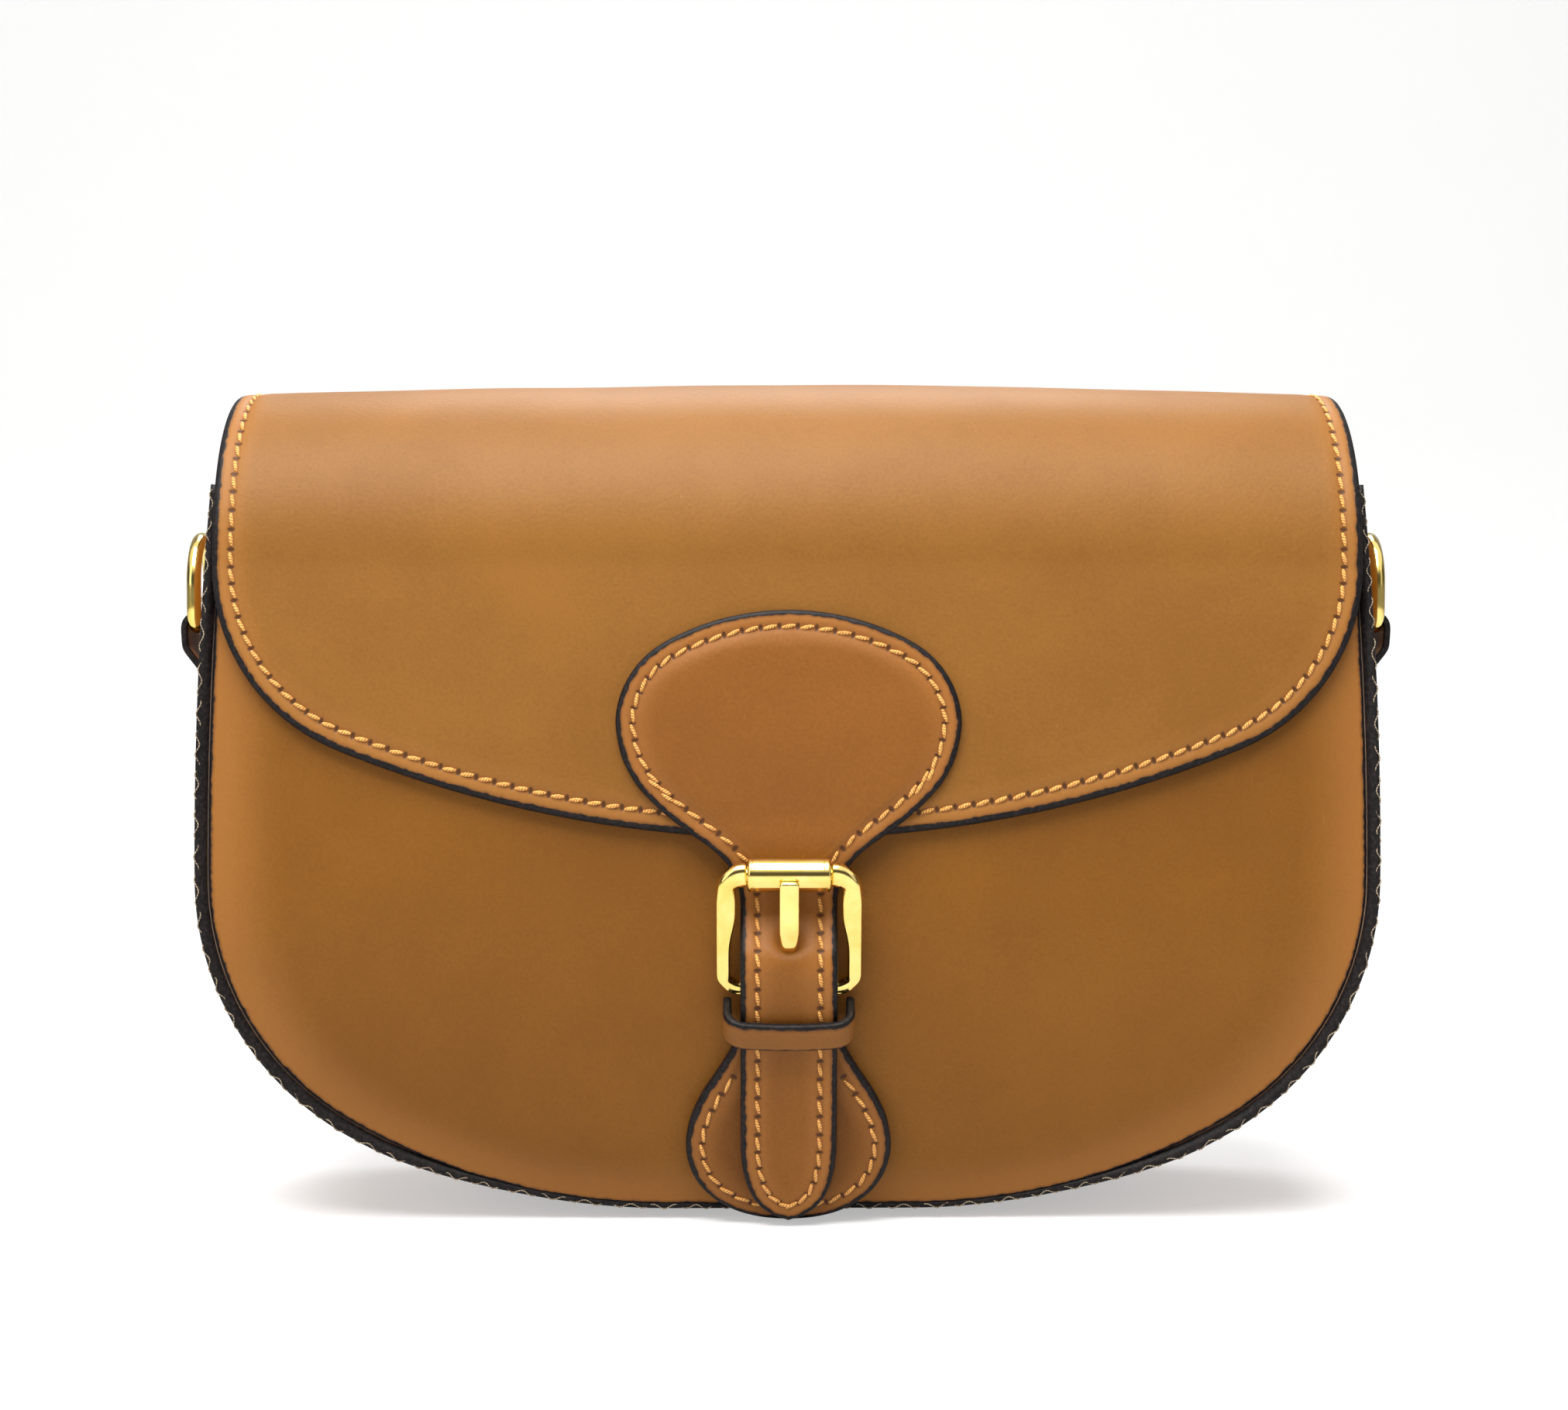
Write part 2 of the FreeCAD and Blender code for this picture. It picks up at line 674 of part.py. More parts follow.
def strap_chain(stand_off):
    """Strap line, top to tip: behind the roller, out over the heel bar, down on to the pear."""
    strap = size("strap_backing_thickness") + size("tongue_thickness")
    length = size("buckle_length")
    gap = size("moving_gap")
    behind = -(size("roller_diameter") / 2 + gap + strap)
    over = size("buckle_bar") / 2 + size("fold_thickness") + gap * 2
    crossing = length - size("roller_diameter") - gap * 8
    top = size("tongue_bend_height") - size("tongue_bend_gap")
    pear = size("moving_gap") + size("pear_backing_thickness") + size("pear_thickness")
    rest = pear + size("seam_gap")
    start_stand_off = flap_surface() - gap
    points = [(FRONT.back(top, start_stand_off + stand_off), top)]
    for along, out in ((length - gap * 10, behind), (crossing, behind + strap / 2),
                       (size("buckle_bar"), over), (-size("buckle_bar"), over)):
        points.append(from_heel(along, out + stand_off))
    chain = [corner(back, up) for back, up in points]
    settle = size("pear_neck_height") - size("buckle_bar")
    tail = FRONT.line(size("strap_tip_height"), settle, rest + stand_off)
    return chain + backwards(tail)


def strap_band(inner, outer):
    return strap_chain(outer) + backwards(strap_chain(inner))


def build_strap():
    backing = size("strap_backing_thickness")
    total = backing + size("tongue_thickness")
    slot = slot_outline(PRONG_SLOT_HALF, size("prong_slot_bottom_height"),
                        size("prong_slot_top_height"))
    for label, inner, outer in (("strap_backing", ZERO, backing), ("tongue_strap", backing, total)):
        body = leather(label, strap_band(inner, outer), strap_outline())
        cut_through(body, new_sketch(body, "XZ_Plane", "prong_slot", [slot]))


def build_pear():
    gap = size("moving_gap")
    middle = gap + size("pear_backing_thickness")
    outer = middle + size("pear_thickness")
    bottom = size("pear_bottom_height")
    end = size("fold_end_height")
    heel = size("heel_height")
    backing = leather("pear_backing", FRONT.band(bottom, end, gap, middle), pear_outline())
    seat = size("snap_diameter") / 2 + size("snap_seat_gap")
    cut_hole(backing, "stud_seat", size("snap_height"), seat)
    reach = size("buckle_bar") / 2 + size("fold_thickness")
    centre = (HEEL_BACK, heel)
    front = FRONT.line(bottom, end, outer)[:-1] + [
        corner(FRONT.back(end, outer), end),
        corner(HEEL_BACK - reach, heel, centre, reach),
        corner(HEEL_BACK, heel + reach, centre, reach),
        corner(HEEL_BACK + reach, heel),
        corner(FRONT.back(end, gap), end),
    ]
    profile = front + backwards(FRONT.line(bottom, end, middle))
    pear = leather("pear_outer", profile, pear_outline())
    bar = size("buckle_bar") / 2 + size("running_clearance")
    cut_through(pear, new_sketch(pear, "YZ_Plane", "bar_hole", [], [(HEEL_BACK, heel, bar)]))
    low = heel - reach - size("prong_slot_side_gap")
    slot = slot_outline(PRONG_SLOT_HALF, low, size("belly_height"))
    cut_through(pear, new_sketch(pear, "XZ_Plane", "prong_slot", [slot]))


def build_keeper():
    body = new_body("keeper_loop")
    inside = size("strap_width") / 2 + size("keeper_side_gap")
    outside = inside + size("keeper_thickness")
    front = -size("keeper_thickness")
    leg_end = size("keeper_leg_length")
    bend = size("keeper_corner_radius")
    loop = [
        corner(outside, leg_end), corner(inside, leg_end), corner(inside, ZERO),
        corner(-inside, ZERO), corner(-inside, leg_end), corner(-outside, leg_end),
        corner(-outside, front + bend, (bend - outside, front + bend), bend),
        corner(bend - outside, front),
        corner(outside - bend, front, (outside - bend, front + bend), bend),
        corner(outside, front + bend),
    ]
    pad(body, new_sketch(body, "XY_Plane", "section", [loop]), size("keeper_height"))
    centre = size("keeper_centre_height")
    place(body, 0, FRONT.back(centre, size("keeper_front_standoff")), centre, size("keeper_tilt"))


# ---------------------------------------------------------------- buckle

def frame_side():
    """Right half of the frame: from the roller's end, round the corner and down to the heel."""
    half = size("buckle_width") / 2
    length = size("buckle_length")
    foot = size("buckle_foot") / 2
    high, low = size("buckle_inner_high") / 2, size("buckle_inner_low") / 2
    shoulder = size("roller_length") / 2 + size("roller_end_gap")
    top = length + size("buckle_top_bar") / 2
    under = length - size("buckle_top_bar") / 2
    top_radius, low_radius = size("buckle_top_radius"), size("buckle_low_radius")
    inner_radius = size("buckle_inner_radius")
    turn_low = length - size("roller_diameter") - foot * 2
    heel_across = half - low_radius
    inner_heel = low - heel_across
    return [
        corner(shoulder, top),
        corner(half - top_radius, top, (half - top_radius, top - top_radius), top_radius),
        corner(half, top - top_radius),
        corner(half, low_radius - foot, (heel_across, low_radius - foot), low_radius),
        corner(heel_across, -foot),
        corner(heel_across, foot, (heel_across, foot + inner_heel), inner_heel),
        corner(low, foot + inner_heel),
        corner(low, turn_low),
        corner(high, turn_low + foot),
        corner(high, under - inner_radius, (high - inner_radius, under - inner_radius),
               inner_radius),
        corner(high - inner_radius, under),
        corner(shoulder, under),
    ]


def build_buckle_frame():
    body = new_body("buckle_frame")
    half = size("buckle_width") / 2
    thick = size("buckle_thickness")
    side = frame_side()
    other = [(-across, up, centre and (-centre[0], centre[1]), radius)
             for across, up, centre, radius in side]
    bar = size("buckle_bar") / 2
    overlap = size("buckle_bar_overlap")
    heel = new_sketch(body, "YZ_Plane", "heel_bar", [], [(ZERO, ZERO, bar)])
    pad(body, heel, (half - size("buckle_low_radius") + overlap) * 2)
    pad(body, new_sketch(body, "XZ_Plane", "right_side", [side]), thick)
    pad(body, new_sketch(body, "XZ_Plane", "left_side", [other]), thick)
    upper = new_sketch(body, "YZ_Plane", "roller_bar", [], [(ZERO, size("buckle_length"), bar)])
    pad(body, upper, size("roller_length") + (size("roller_end_gap") + overlap) * 2)
    place(body, 0, HEEL_BACK, size("heel_height"), size("buckle_tilt"))


def build_roller():
    """A tube with stepped ends that turns on the frame's upper bar."""
    body = new_body("roller")
    bore = size("buckle_bar") / 2 + size("roller_bore_gap")
    full = size("roller_diameter") / 2
    step = size("roller_end_step")
    tube = new_sketch(body, "YZ_Plane", "tube", [], [(ZERO, ZERO, full), (ZERO, ZERO, bore)])
    pad(body, tube, size("roller_length") - step * 2)
    ends = new_sketch(body, "YZ_Plane", "ends", [], [(ZERO, ZERO, full - step), (ZERO, ZERO, bore)])
    pad(body, ends, size("roller_length"))
    back, up = from_heel(size("buckle_length"), ZERO)
    place(body, 0, back, up, size("buckle_tilt"))


def build_prong():
    """A flat prong whose eye turns on the heel bar and whose tip rests on the roller."""
    body = new_body("prong")
    bar = size("buckle_bar") / 2
    eye = bar + size("fold_thickness")
    thick = size("prong_thickness")
    roller = size("roller_diameter") / 2 + size("running_clearance")
    tip = size("buckle_length") + size("prong_overhang")
    rest = size("buckle_length") - size("roller_diameter") / 2
    shank = [
        corner(-eye, ZERO), corner(-(roller + thick), rest),
        corner(-(roller + thick), tip), corner(-roller, tip),
        corner(-roller, rest), corner(-(eye - thick), bar),
    ]
    blade = pad(body, new_sketch(body, "YZ_Plane", "shank", [shank]), size("prong_width"))
    bevel = body.newObject("PartDesign::Chamfer", "prong_bevel")
    front = -(roller + thick).number
    bevel.Base = (blade, [f"Edge{number}" for number, edge in enumerate(blade.Shape.Edges, 1)
                          if abs(edge.BoundBox.YMin - front) < bar.number / 10])
    bevel.Size = size("prong_bevel").number
    bevel.setExpression("Size", size("prong_bevel").formula)
    doc.recompute()
    pad(body, new_sketch(body, "YZ_Plane", "eye", [], [(ZERO, ZERO, eye)]), size("prong_width"))
    hole = bar + size("running_clearance")
    cut_through(body, new_sketch(body, "YZ_Plane", "eye_hole", [], [(ZERO, ZERO, hole)]))
    place(body, 0, HEEL_BACK, size("heel_height"), size("buckle_tilt"))


# ---------------------------------------------------------------- snap behind the pear

def snap_place(body, stand_off):
    """Seats a disc on the front's curve at the snap's height, square to the surface."""
    up = size("snap_height")
    drop = size("belly_height") - up
    radius = FRONT.lower
    lean = Length(math.degrees(math.asin(drop.number / radius.number)),
                  f"asin({drop.formula} / {radius.formula}) / 1 deg")
    back = FRONT.centre(radius)[0] - (radius + stand_off) * cosine(lean)
    height = size("belly_height") - (radius + stand_off) * sine(lean)
    place(body, 0, back, height, lean)


def disc(label, radius, thickness, bore=None):
    """A disc, or a ring, centred on its own origin with its axis front to back."""
    body = new_body(label)
    circles = [(ZERO, ZERO, radius)]
    if bore is not None:
        circles.append((ZERO, ZERO, bore))
    pad(body, new_sketch(body, "XZ_Plane", "plate", [], circles), thickness)
    return body


def build_snap():
    radius = size("snap_diameter") / 2
    panel = size("panel_thickness")
    washer = size("washer_thickness")
    socket = disc("snap_socket", radius, panel, size("socket_bore") / 2)
    snap_place(socket, -panel / 2)
    back_plate = disc("socket_washer", size("washer_diameter") / 2, washer)
    snap_place(back_plate, -(panel + size("moving_gap") + washer / 2))
    plate = size("snap_plate_thickness")
    gap = size("moving_gap")
    reach = size("stud_reach")
    stud = disc("snap_stud", radius, plate)
    pin = new_sketch(stud, "XZ_Plane", "pin", [], [(ZERO, ZERO, size("stud_diameter") / 2)])
    feature = stud.newObject("PartDesign::Pad", "snap_stud_pin_pad")
    feature.Profile = pin
    feature.Reversed = True
    feature.setExpression("Length", (reach + gap + plate / 2).formula)
    doc.recompute()
    snap_place(stud, gap + plate / 2)
    thin = size("stud_washer_thickness")
    stud_washer = disc("stud_washer", radius, thin)
    snap_place(stud_washer, gap + plate + thin / 2)


# ---------------------------------------------------------------- rings and their tabs

def build_ring(side_name, side):
    """A D-ring standing on its bar, in a plane beside the gusset."""
    body = new_body(f"{side_name}_ring")
    wire = size("ring_wire") / 2
    half = size("ring_width") / 2 - wire
    rise = size("ring_height") - size("ring_wire")
    low, high = size("ring_base_radius"), size("ring_top_radius")
    path = [
        corner(-half + low, ZERO), corner(half - low, ZERO, (half - low, low), low),
        corner(half, low), corner(half, rise - high, (half - high, rise - high), high),
        corner(half - high, rise), corner(high - half, rise, (high - half, rise - high), high),
        corner(-half, rise - high), corner(-half, low, (low - half, low), low),
    ]
    spine = new_sketch(body, "YZ_Plane", "path", [path])
    section = new_sketch(body, "XZ_Plane", "section", [], [(ZERO, ZERO, wire)])
    sweep = body.newObject("PartDesign::AdditivePipe", f"{side_name}_ring_sweep")
    sweep.Profile = section
    sweep.Spine = (spine, [f"Edge{number}" for number in range(1, len(path) + 1)])
    doc.recompute()
    across = (HALF_WIDTH + size("ring_bar_standoff")) * side
    place(body, across, 0, size("ring_bar_height"))


def build_tab(side_name, side):
    """A leather tab folded round the ring's bar, with its tail sewn to the gusset."""
    body = new_body(f"{side_name}_ring_tab")
    thick = size("tab_thickness")
    bar = size("ring_wire") / 2
    eye = bar + size("ring_tab_clearance")
    outer = eye + thick
    middle = HALF_WIDTH + size("ring_bar_standoff")
    up = size("ring_bar_height")
    inside = HALF_WIDTH + size("seam_gap")
    outside = inside + thick * 2
    centre = (middle, up)
    loop = [
        corner(inside, size("tab_bottom_height")),
        corner(outside, size("tab_bottom_height")),
        corner(outside, size("tab_merge_height")),
        corner(middle + outer, up, centre, outer),
        corner(middle, up + outer, centre, outer),
        corner(middle - outer, up),
        corner(inside, size("tab_merge_height")),
    ]
    loop = [(across * side, height, arc and (arc[0] * side, arc[1]), radius)
            for across, height, arc, radius in loop]
    pad(body, new_sketch(body, "XZ_Plane", "profile", [loop]), size("tab_width"))
    hole = [(middle * side, up, eye)]
    cut_through(body, new_sketch(body, "XZ_Plane", "bar_hole", [], hole))


# ---------------------------------------------------------------- the bag

build_gusset()
build_gusset_lining()
build_panels()
build_flap()
build_patch()
build_strap()
build_pear()
build_keeper()
build_buckle_frame()
build_roller()
build_prong()
build_snap()
for side_name, side in (("left", -1), ("right", 1)):
    build_ring(side_name, side)
    build_tab(side_name, side)
doc.recompute()

for item in doc.Objects:
    if "Invalid" in item.State or "Error" in item.State:
        raise RuntimeError(f"{item.Name} failed: {item.State}")
for sub_part in SUB_PARTS:
    if sub_part.Shape.isNull() or not sub_part.Shape.isValid():
        raise RuntimeError(f"{sub_part.Label} has no valid shape")

os.makedirs("parts", exist_ok=True)
for sub_part in SUB_PARTS:
    sub_part.Shape.exportStep(f"parts/{sub_part.Label}.step")
    box = sub_part.Shape.BoundBox
    print(f"{sub_part.Label}: x {box.XMin:.1f}..{box.XMax:.1f}, y {box.YMin:.1f}..{box.YMax:.1f},"
          f" z {box.ZMin:.1f}..{box.ZMax:.1f}, solids {len(sub_part.Shape.Solids)}")
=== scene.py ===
"""Small tan leather sling bag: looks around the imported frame.
Lengths are millimetres until a mesh is made."""
import math

import bmesh
import bpy
import numpy as np
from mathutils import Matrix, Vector


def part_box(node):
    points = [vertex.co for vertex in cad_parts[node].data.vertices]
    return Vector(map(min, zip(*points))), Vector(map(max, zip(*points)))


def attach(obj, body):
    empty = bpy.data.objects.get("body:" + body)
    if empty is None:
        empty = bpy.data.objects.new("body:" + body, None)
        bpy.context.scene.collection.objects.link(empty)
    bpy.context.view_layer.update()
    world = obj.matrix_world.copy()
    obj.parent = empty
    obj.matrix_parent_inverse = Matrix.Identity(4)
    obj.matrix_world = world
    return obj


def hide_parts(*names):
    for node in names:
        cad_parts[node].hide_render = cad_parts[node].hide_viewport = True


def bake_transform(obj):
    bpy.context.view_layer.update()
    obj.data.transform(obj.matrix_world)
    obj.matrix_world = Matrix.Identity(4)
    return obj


MM = 0.001
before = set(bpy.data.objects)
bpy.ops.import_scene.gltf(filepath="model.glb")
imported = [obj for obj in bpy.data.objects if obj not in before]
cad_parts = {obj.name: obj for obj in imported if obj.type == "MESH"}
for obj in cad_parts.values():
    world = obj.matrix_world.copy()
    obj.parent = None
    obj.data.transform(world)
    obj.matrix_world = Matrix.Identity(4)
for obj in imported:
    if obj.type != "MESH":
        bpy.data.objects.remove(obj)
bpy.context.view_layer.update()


def node_box(node):
    """Lowest and highest corners of a node, in millimetres."""
    low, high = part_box(node)
    return np.array(low) / MM, np.array(high) / MM


# ---- sizes taken from the frame

GUSSET_LOW, GUSSET_HIGH = node_box("gusset")
HALF_WIDTH = GUSSET_HIGH[0]
GUSSET_TOP = GUSSET_HIGH[2]
PANEL_TOP = node_box("front_panel")[1][2]
FLAP_LOW, FLAP_HIGH = node_box("flap_outer")
FLAP_HALF = FLAP_HIGH[0]
FLAP_EDGE = FLAP_LOW[2]
PATCH_HIGH = node_box("tongue_patch")[1]
STRAP_LOW, STRAP_HIGH = node_box("tongue_strap")
PEAR_LOW, PEAR_HIGH = node_box("pear_outer")
ROLLER_LOW, ROLLER_HIGH = node_box("roller")
ROLLER_MIDDLE = (ROLLER_LOW + ROLLER_HIGH) / 2
ROLLER_RADIUS = (ROLLER_HIGH[2] - ROLLER_LOW[2]) / 2
BUCKLE_HALF = node_box("buckle_frame")[1][0]
BUCKLE_LENGTH = 23.5
BUCKLE_LEAN = math.radians(14)
HEEL = ROLLER_MIDDLE[1:] + BUCKLE_LENGTH * np.array([math.sin(BUCKLE_LEAN), -math.cos(BUCKLE_LEAN)])
FRONT_REACH = -GUSSET_LOW[1]
BACK_REACH = GUSSET_HIGH[1]
BELLY = 65.0
FRONT_BENDS = (182.04, 478.6)
BACK_BENDS = (355.08, 1191.25)
MOUTH = PANEL_TOP
FOLD = 35.0
HOLE = 0.5
BASE_FLAT, BASE_RADIUS, BASE_TURN = 25, 121.6, 58.1
CORNER_RADIUS, CORNER_HEIGHT, SIDE_RADIUS = 62, 71, 1249
RING_BAR = 121


# ---- lines and outlines

def bag_depth(up, reach, bends, off=0.0):
    """Distance of the front or back face from the middle: reach - R + sqrt((R + off)^2 - (up - belly)^2),
    with one radius R below the belly and a longer one above it."""
    bend = np.where(np.asarray(up) < BELLY, bends[0], bends[1])
    return reach - bend + np.sqrt((bend + off) ** 2 - (np.asarray(up) - BELLY) ** 2)


def front_at(up, off=0.0):
    return -bag_depth(up, FRONT_REACH, FRONT_BENDS, off)


def back_at(up, off=0.0):
    return bag_depth(up, BACK_REACH, BACK_BENDS, off)


def heel_point(along, out):
    """A point along the buckle from its heel bar, and out from the buckle's plane."""
    lean_sine, lean_cosine = math.sin(BUCKLE_LEAN), math.cos(BUCKLE_LEAN)
    return np.array([HEEL[0] - along * lean_sine - out * lean_cosine,
                     HEEL[1] + along * lean_cosine - out * lean_sine])


def unit(vectors):
    """The same vectors at length 1."""
    return vectors / np.linalg.norm(vectors, axis=-1, keepdims=True)


def heading(line):
    """Direction of a line at each of its points."""
    return unit(np.gradient(line, axis=0))


def distance(line):
    """How far along a line each of its points is."""
    return np.concatenate([[0], np.cumsum(np.linalg.norm(np.diff(line, axis=0), axis=1))])


def even(points, step, closed=False):
    """The same line with points an even step apart along it."""
    points = np.asarray(points, float)
    if closed:
        points = np.vstack([points, points[:1]])
    run = distance(points)
    count = max(int(round(run[-1] / step)), 4)
    stations = np.linspace(0, run[-1], count + 1)
    return np.stack([np.interp(stations, run, points[:, k]) for k in range(points.shape[1])], 1)


def eased(points, step, spread):
    """An even line whose corners are rounded by averaging over a bell of the given spread; its ends stay."""
    line = even(points, step)
    reach = int(3 * spread / step)
    bell = np.exp(-0.5 * (np.arange(-reach, reach + 1) * step / spread) ** 2)
    bell /= bell.sum()
    first, last = line[0], line[-1]
    ahead = 2 * first - line[reach:0:-1]
    after = 2 * last - line[-2:-reach - 2:-1]
    padded = np.vstack([ahead, line, after])
    soft = np.stack([np.convolve(padded[:, k], bell, "valid") for k in range(line.shape[1])], 1)
    return soft


class Course:
    """A line in the side view that leather lies along, from low on the front, up and over to the back.
    A place on it is given by the distance s along it and the height h out from it."""

    def __init__(self, points, step=0.5, spread=0.0):
        line = eased(points, step, spread) if spread else even(points, step)
        self.line = line
        self.run = distance(line)
        along = heading(line)
        self.out = np.stack([-along[:, 1], along[:, 0]], 1)

    def from_height(self, up):
        """Distance along the course of a height on its front."""
        top = int(np.argmax(self.line[:, 1]))
        return np.interp(up, self.line[:top + 1, 1], self.run[:top + 1])

    def place(self, across, s, h):
        """x = across; (y, z) = line(s) + h * out(s)."""
        base = [np.interp(s, self.run, self.line[:, k]) for k in (0, 1)]
        out = [np.interp(s, self.run, self.out[:, k]) for k in (0, 1)]
        return np.stack([across + 0 * s, base[0] + h * out[0], base[1] + h * out[1]], -1)


def arc(centre, radius, start, stop, count=24):
    """Points round a circle, angles in degrees."""
    angle = np.radians(np.linspace(start, stop, count))
    return np.stack([centre[0] + radius * np.cos(angle), centre[1] + radius * np.sin(angle)], 1)


def both_sides(half, step):
    """A closed outline from its right half, which runs from the bottom middle up to the top middle."""
    half = even(half, step)
    left = half[::-1][1:-1] * np.array([-1, 1])
    return np.vstack([half, left])


def body_half(inset, top):
    """Right half of the bag's U outline: flat base, base arc, corner arc and a long side arc."""
    base = arc((BASE_FLAT, BASE_RADIUS), BASE_RADIUS - inset, -90, -BASE_TURN, 20)
    side_low = arc((HALF_WIDTH - CORNER_RADIUS, CORNER_HEIGHT), CORNER_RADIUS - inset, -BASE_TURN, 0, 40)
    rise = np.linspace(CORNER_HEIGHT, top, 30)[1:]
    across = HALF_WIDTH - SIDE_RADIUS + np.sqrt((SIDE_RADIUS - inset) ** 2 - (rise - CORNER_HEIGHT) ** 2)
    return np.vstack([[(0, inset)], base, side_low, np.stack([across, rise], 1)])


def rim_line(high, step):
    """The bag's whole U outline as an even line, and the direction outwards at each point."""
    half = even(body_half(0, high), step)
    line = np.vstack([(half[::-1] * np.array([-1, 1]))[:-1], half])
    along = heading(line)
    return line, np.stack([along[:, 1], -along[:, 0]], 1)


def smooth_step(value, low, high):
    t = np.clip((value - low) / (high - low), 0, 1)
    return t * t * (3 - 2 * t)


def wander(x, y, length, seed):
    """A gentle uneven swell from -1 to 1: the mean of five sine waves at unrelated angles and lengths."""
    total = 0
    for k in range(5):
        turn = seed * 1.7 + k * 2.399
        wave = length * (0.75 + 0.17 * ((k * 7 + seed * 3) % 5))
        along = x * math.cos(turn) + y * math.sin(turn)
        total = total + np.sin(6.283 * along / wave + seed * 2.1 + k * 1.3)
    return total / 5


# ---- meshes

def finish_mesh(name, grids, materials, weld=0.004):
    """Joins grids of points (rows, columns, 3) with their (u, v) and material number into one piece,
    welds the seams and turns all faces outwards."""
    mesh = bpy.data.meshes.new(name)
    points, faces, corners, numbers, start = [], [], [], [], 0
    for grid, uv, number in grids:
        rows, columns = grid.shape[:2]
        index = np.arange(rows * columns).reshape(rows, columns) + start
        quads = np.stack([index[:-1, :-1], index[:-1, 1:], index[1:, 1:], index[1:, :-1]], -1).reshape(-1, 4)
        number = np.broadcast_to(np.asarray(number), (rows - 1, columns - 1)).reshape(-1)
        points.append(grid.reshape(-1, 3))
        corners.append(uv.reshape(-1, 2))
        faces.append(quads)
        numbers.append(number)
        start += rows * columns
    points, corners = np.vstack(points) * MM, np.vstack(corners) * MM
    faces, numbers = np.vstack(faces), np.concatenate(numbers)
    mesh.from_pydata(points.tolist(), [], faces.tolist())
    layer = mesh.uv_layers.new(name="UVMap")
    layer.data.foreach_set("uv", corners[faces.reshape(-1)].astype(np.float32).ravel())
    mesh.polygons.foreach_set("material_index", numbers.astype(np.int32))
    for material in materials:
        mesh.materials.append(material)
    shell = bmesh.new()
    shell.from_mesh(mesh)
    bmesh.ops.remove_doubles(shell, verts=shell.verts, dist=weld * MM)
    bmesh.ops.dissolve_degenerate(shell, edges=shell.edges, dist=1e-7)
    if shell.calc_volume(signed=True) < 0:
        bmesh.ops.reverse_faces(shell, faces=shell.faces)
    for face in shell.faces:
        face.smooth = True
    shell.to_mesh(mesh)
    shell.free()
    piece = bpy.data.objects.new(name, mesh)
    bpy.context.collection.objects.link(piece)
    return piece


class Outline:
    """A closed outline in (across, distance along the course) with the direction that leads inwards."""

    def __init__(self, loop):
        self.loop = np.vstack([loop, loop[:1]])
        along = unit(np.roll(loop, -1, 0) - np.roll(loop, 1, 0))
        inward = np.stack([-along[:, 1], along[:, 0]], 1)
        self.inward = np.vstack([inward, inward[:1]])
        self.run = distance(self.loop)
        self.length = self.run[-1]

    def at(self, u, inset):
        """Point at distance u round the outline, moved inwards by inset, and the direction along it."""
        u = np.mod(u, self.length)
        point = np.stack([np.interp(u, self.run, self.loop[:, k]) for k in (0, 1)], -1)
        inward = unit(np.stack([np.interp(u, self.run, self.inward[:, k]) for k in (0, 1)], -1))
        along = np.stack([inward[..., 1], -inward[..., 0]], -1)
        return point + inward * np.asarray(inset)[..., None], along


def cut_leather(name, outline, course, thickness, materials, insets, fill, relief, roll=0.7,
                spine=(0.12, 0.88)):
    """A cut piece of leather lying on a course.  Rings follow the outline inwards and then close on to a
    middle line; the edge is a quarter circle of radius roll above and below.
    Outside surface h = relief(x, s, inset); inside surface h = -thickness."""
    loop, inward = outline.loop, outline.inward
    low, high = loop[:, 1].min(), loop[:, 1].max()
    share = (loop[:, 1] - low) / (high - low)
    middle = np.stack([0 * share, low + (high - low) * (spine[0] + (spine[1] - spine[0]) * share)], 1)

    def ring(inset):
        """The outline moved inwards; neither half crosses the middle line."""
        point = loop + inward * inset
        right, left = loop[:, 0] > 0.01, loop[:, 0] < -0.01
        x = point[:, 0]
        point[:, 0] = np.where(right, np.maximum(x, 0), np.where(left, np.minimum(x, 0), 0))
        return point

    last = ring(insets[-1])
    reach = np.linalg.norm(last - middle, axis=1)
    turn = np.radians([0, 22, 45, 68, 90])
    top = [(roll * (1 - math.cos(a)), -roll * (1 - math.sin(a))) for a in turn]
    low_roll = min(roll, 0.6)
    bottom = [(low_roll * (1 - math.cos(a)), low_roll * (1 - math.sin(a))) for a in turn]
    rings = []
    for step in np.linspace(1, 0, max(fill // 2, 3))[:-1]:
        rings.append((last * (1 - step) + middle * step, 0 * reach, insets[-1] + step * reach, 1, 1))
    for inset in insets[::-1]:
        if inset > low_roll:
            rings.append((ring(inset), 0 * reach, inset + 0 * reach, 1, 1))
    for inset, rise in bottom[::-1]:
        rings.append((ring(inset), rise + 0 * reach, 0 * reach, 1, 0))
    for inset, rise in top:
        rings.append((ring(inset), rise + 0 * reach, inset + 0 * reach, 0, 0))
    for inset in insets:
        if inset > roll:
            rings.append((ring(inset), 0 * reach, inset + 0 * reach, 0, 0))
    for step in np.linspace(0, 1, fill)[1:]:
        rings.append((last * (1 - step) + middle * step, 0 * reach, insets[-1] + step * reach, 0, 0))
    flat = np.array([r[0] for r in rings])
    rise = np.array([r[1] for r in rings])
    inset = np.array([r[2] for r in rings])
    below = np.array([r[3] for r in rings])[:, None]
    number = np.array([r[4] for r in rings])
    x, s = flat[..., 0], flat[..., 1]
    shape = relief(x, s, inset)
    thick = thickness(s) if callable(thickness) else thickness
    h = np.where(below > 0, rise - thick, rise + shape)
    grid = course.place(x, s, h)
    u = np.broadcast_to(outline.run, x.shape)
    uv = np.stack([u, inset], -1)
    pairs = np.maximum(number[:-1], number[1:])[:, None]
    return finish_mesh(name, [(grid, uv, pairs)], materials)


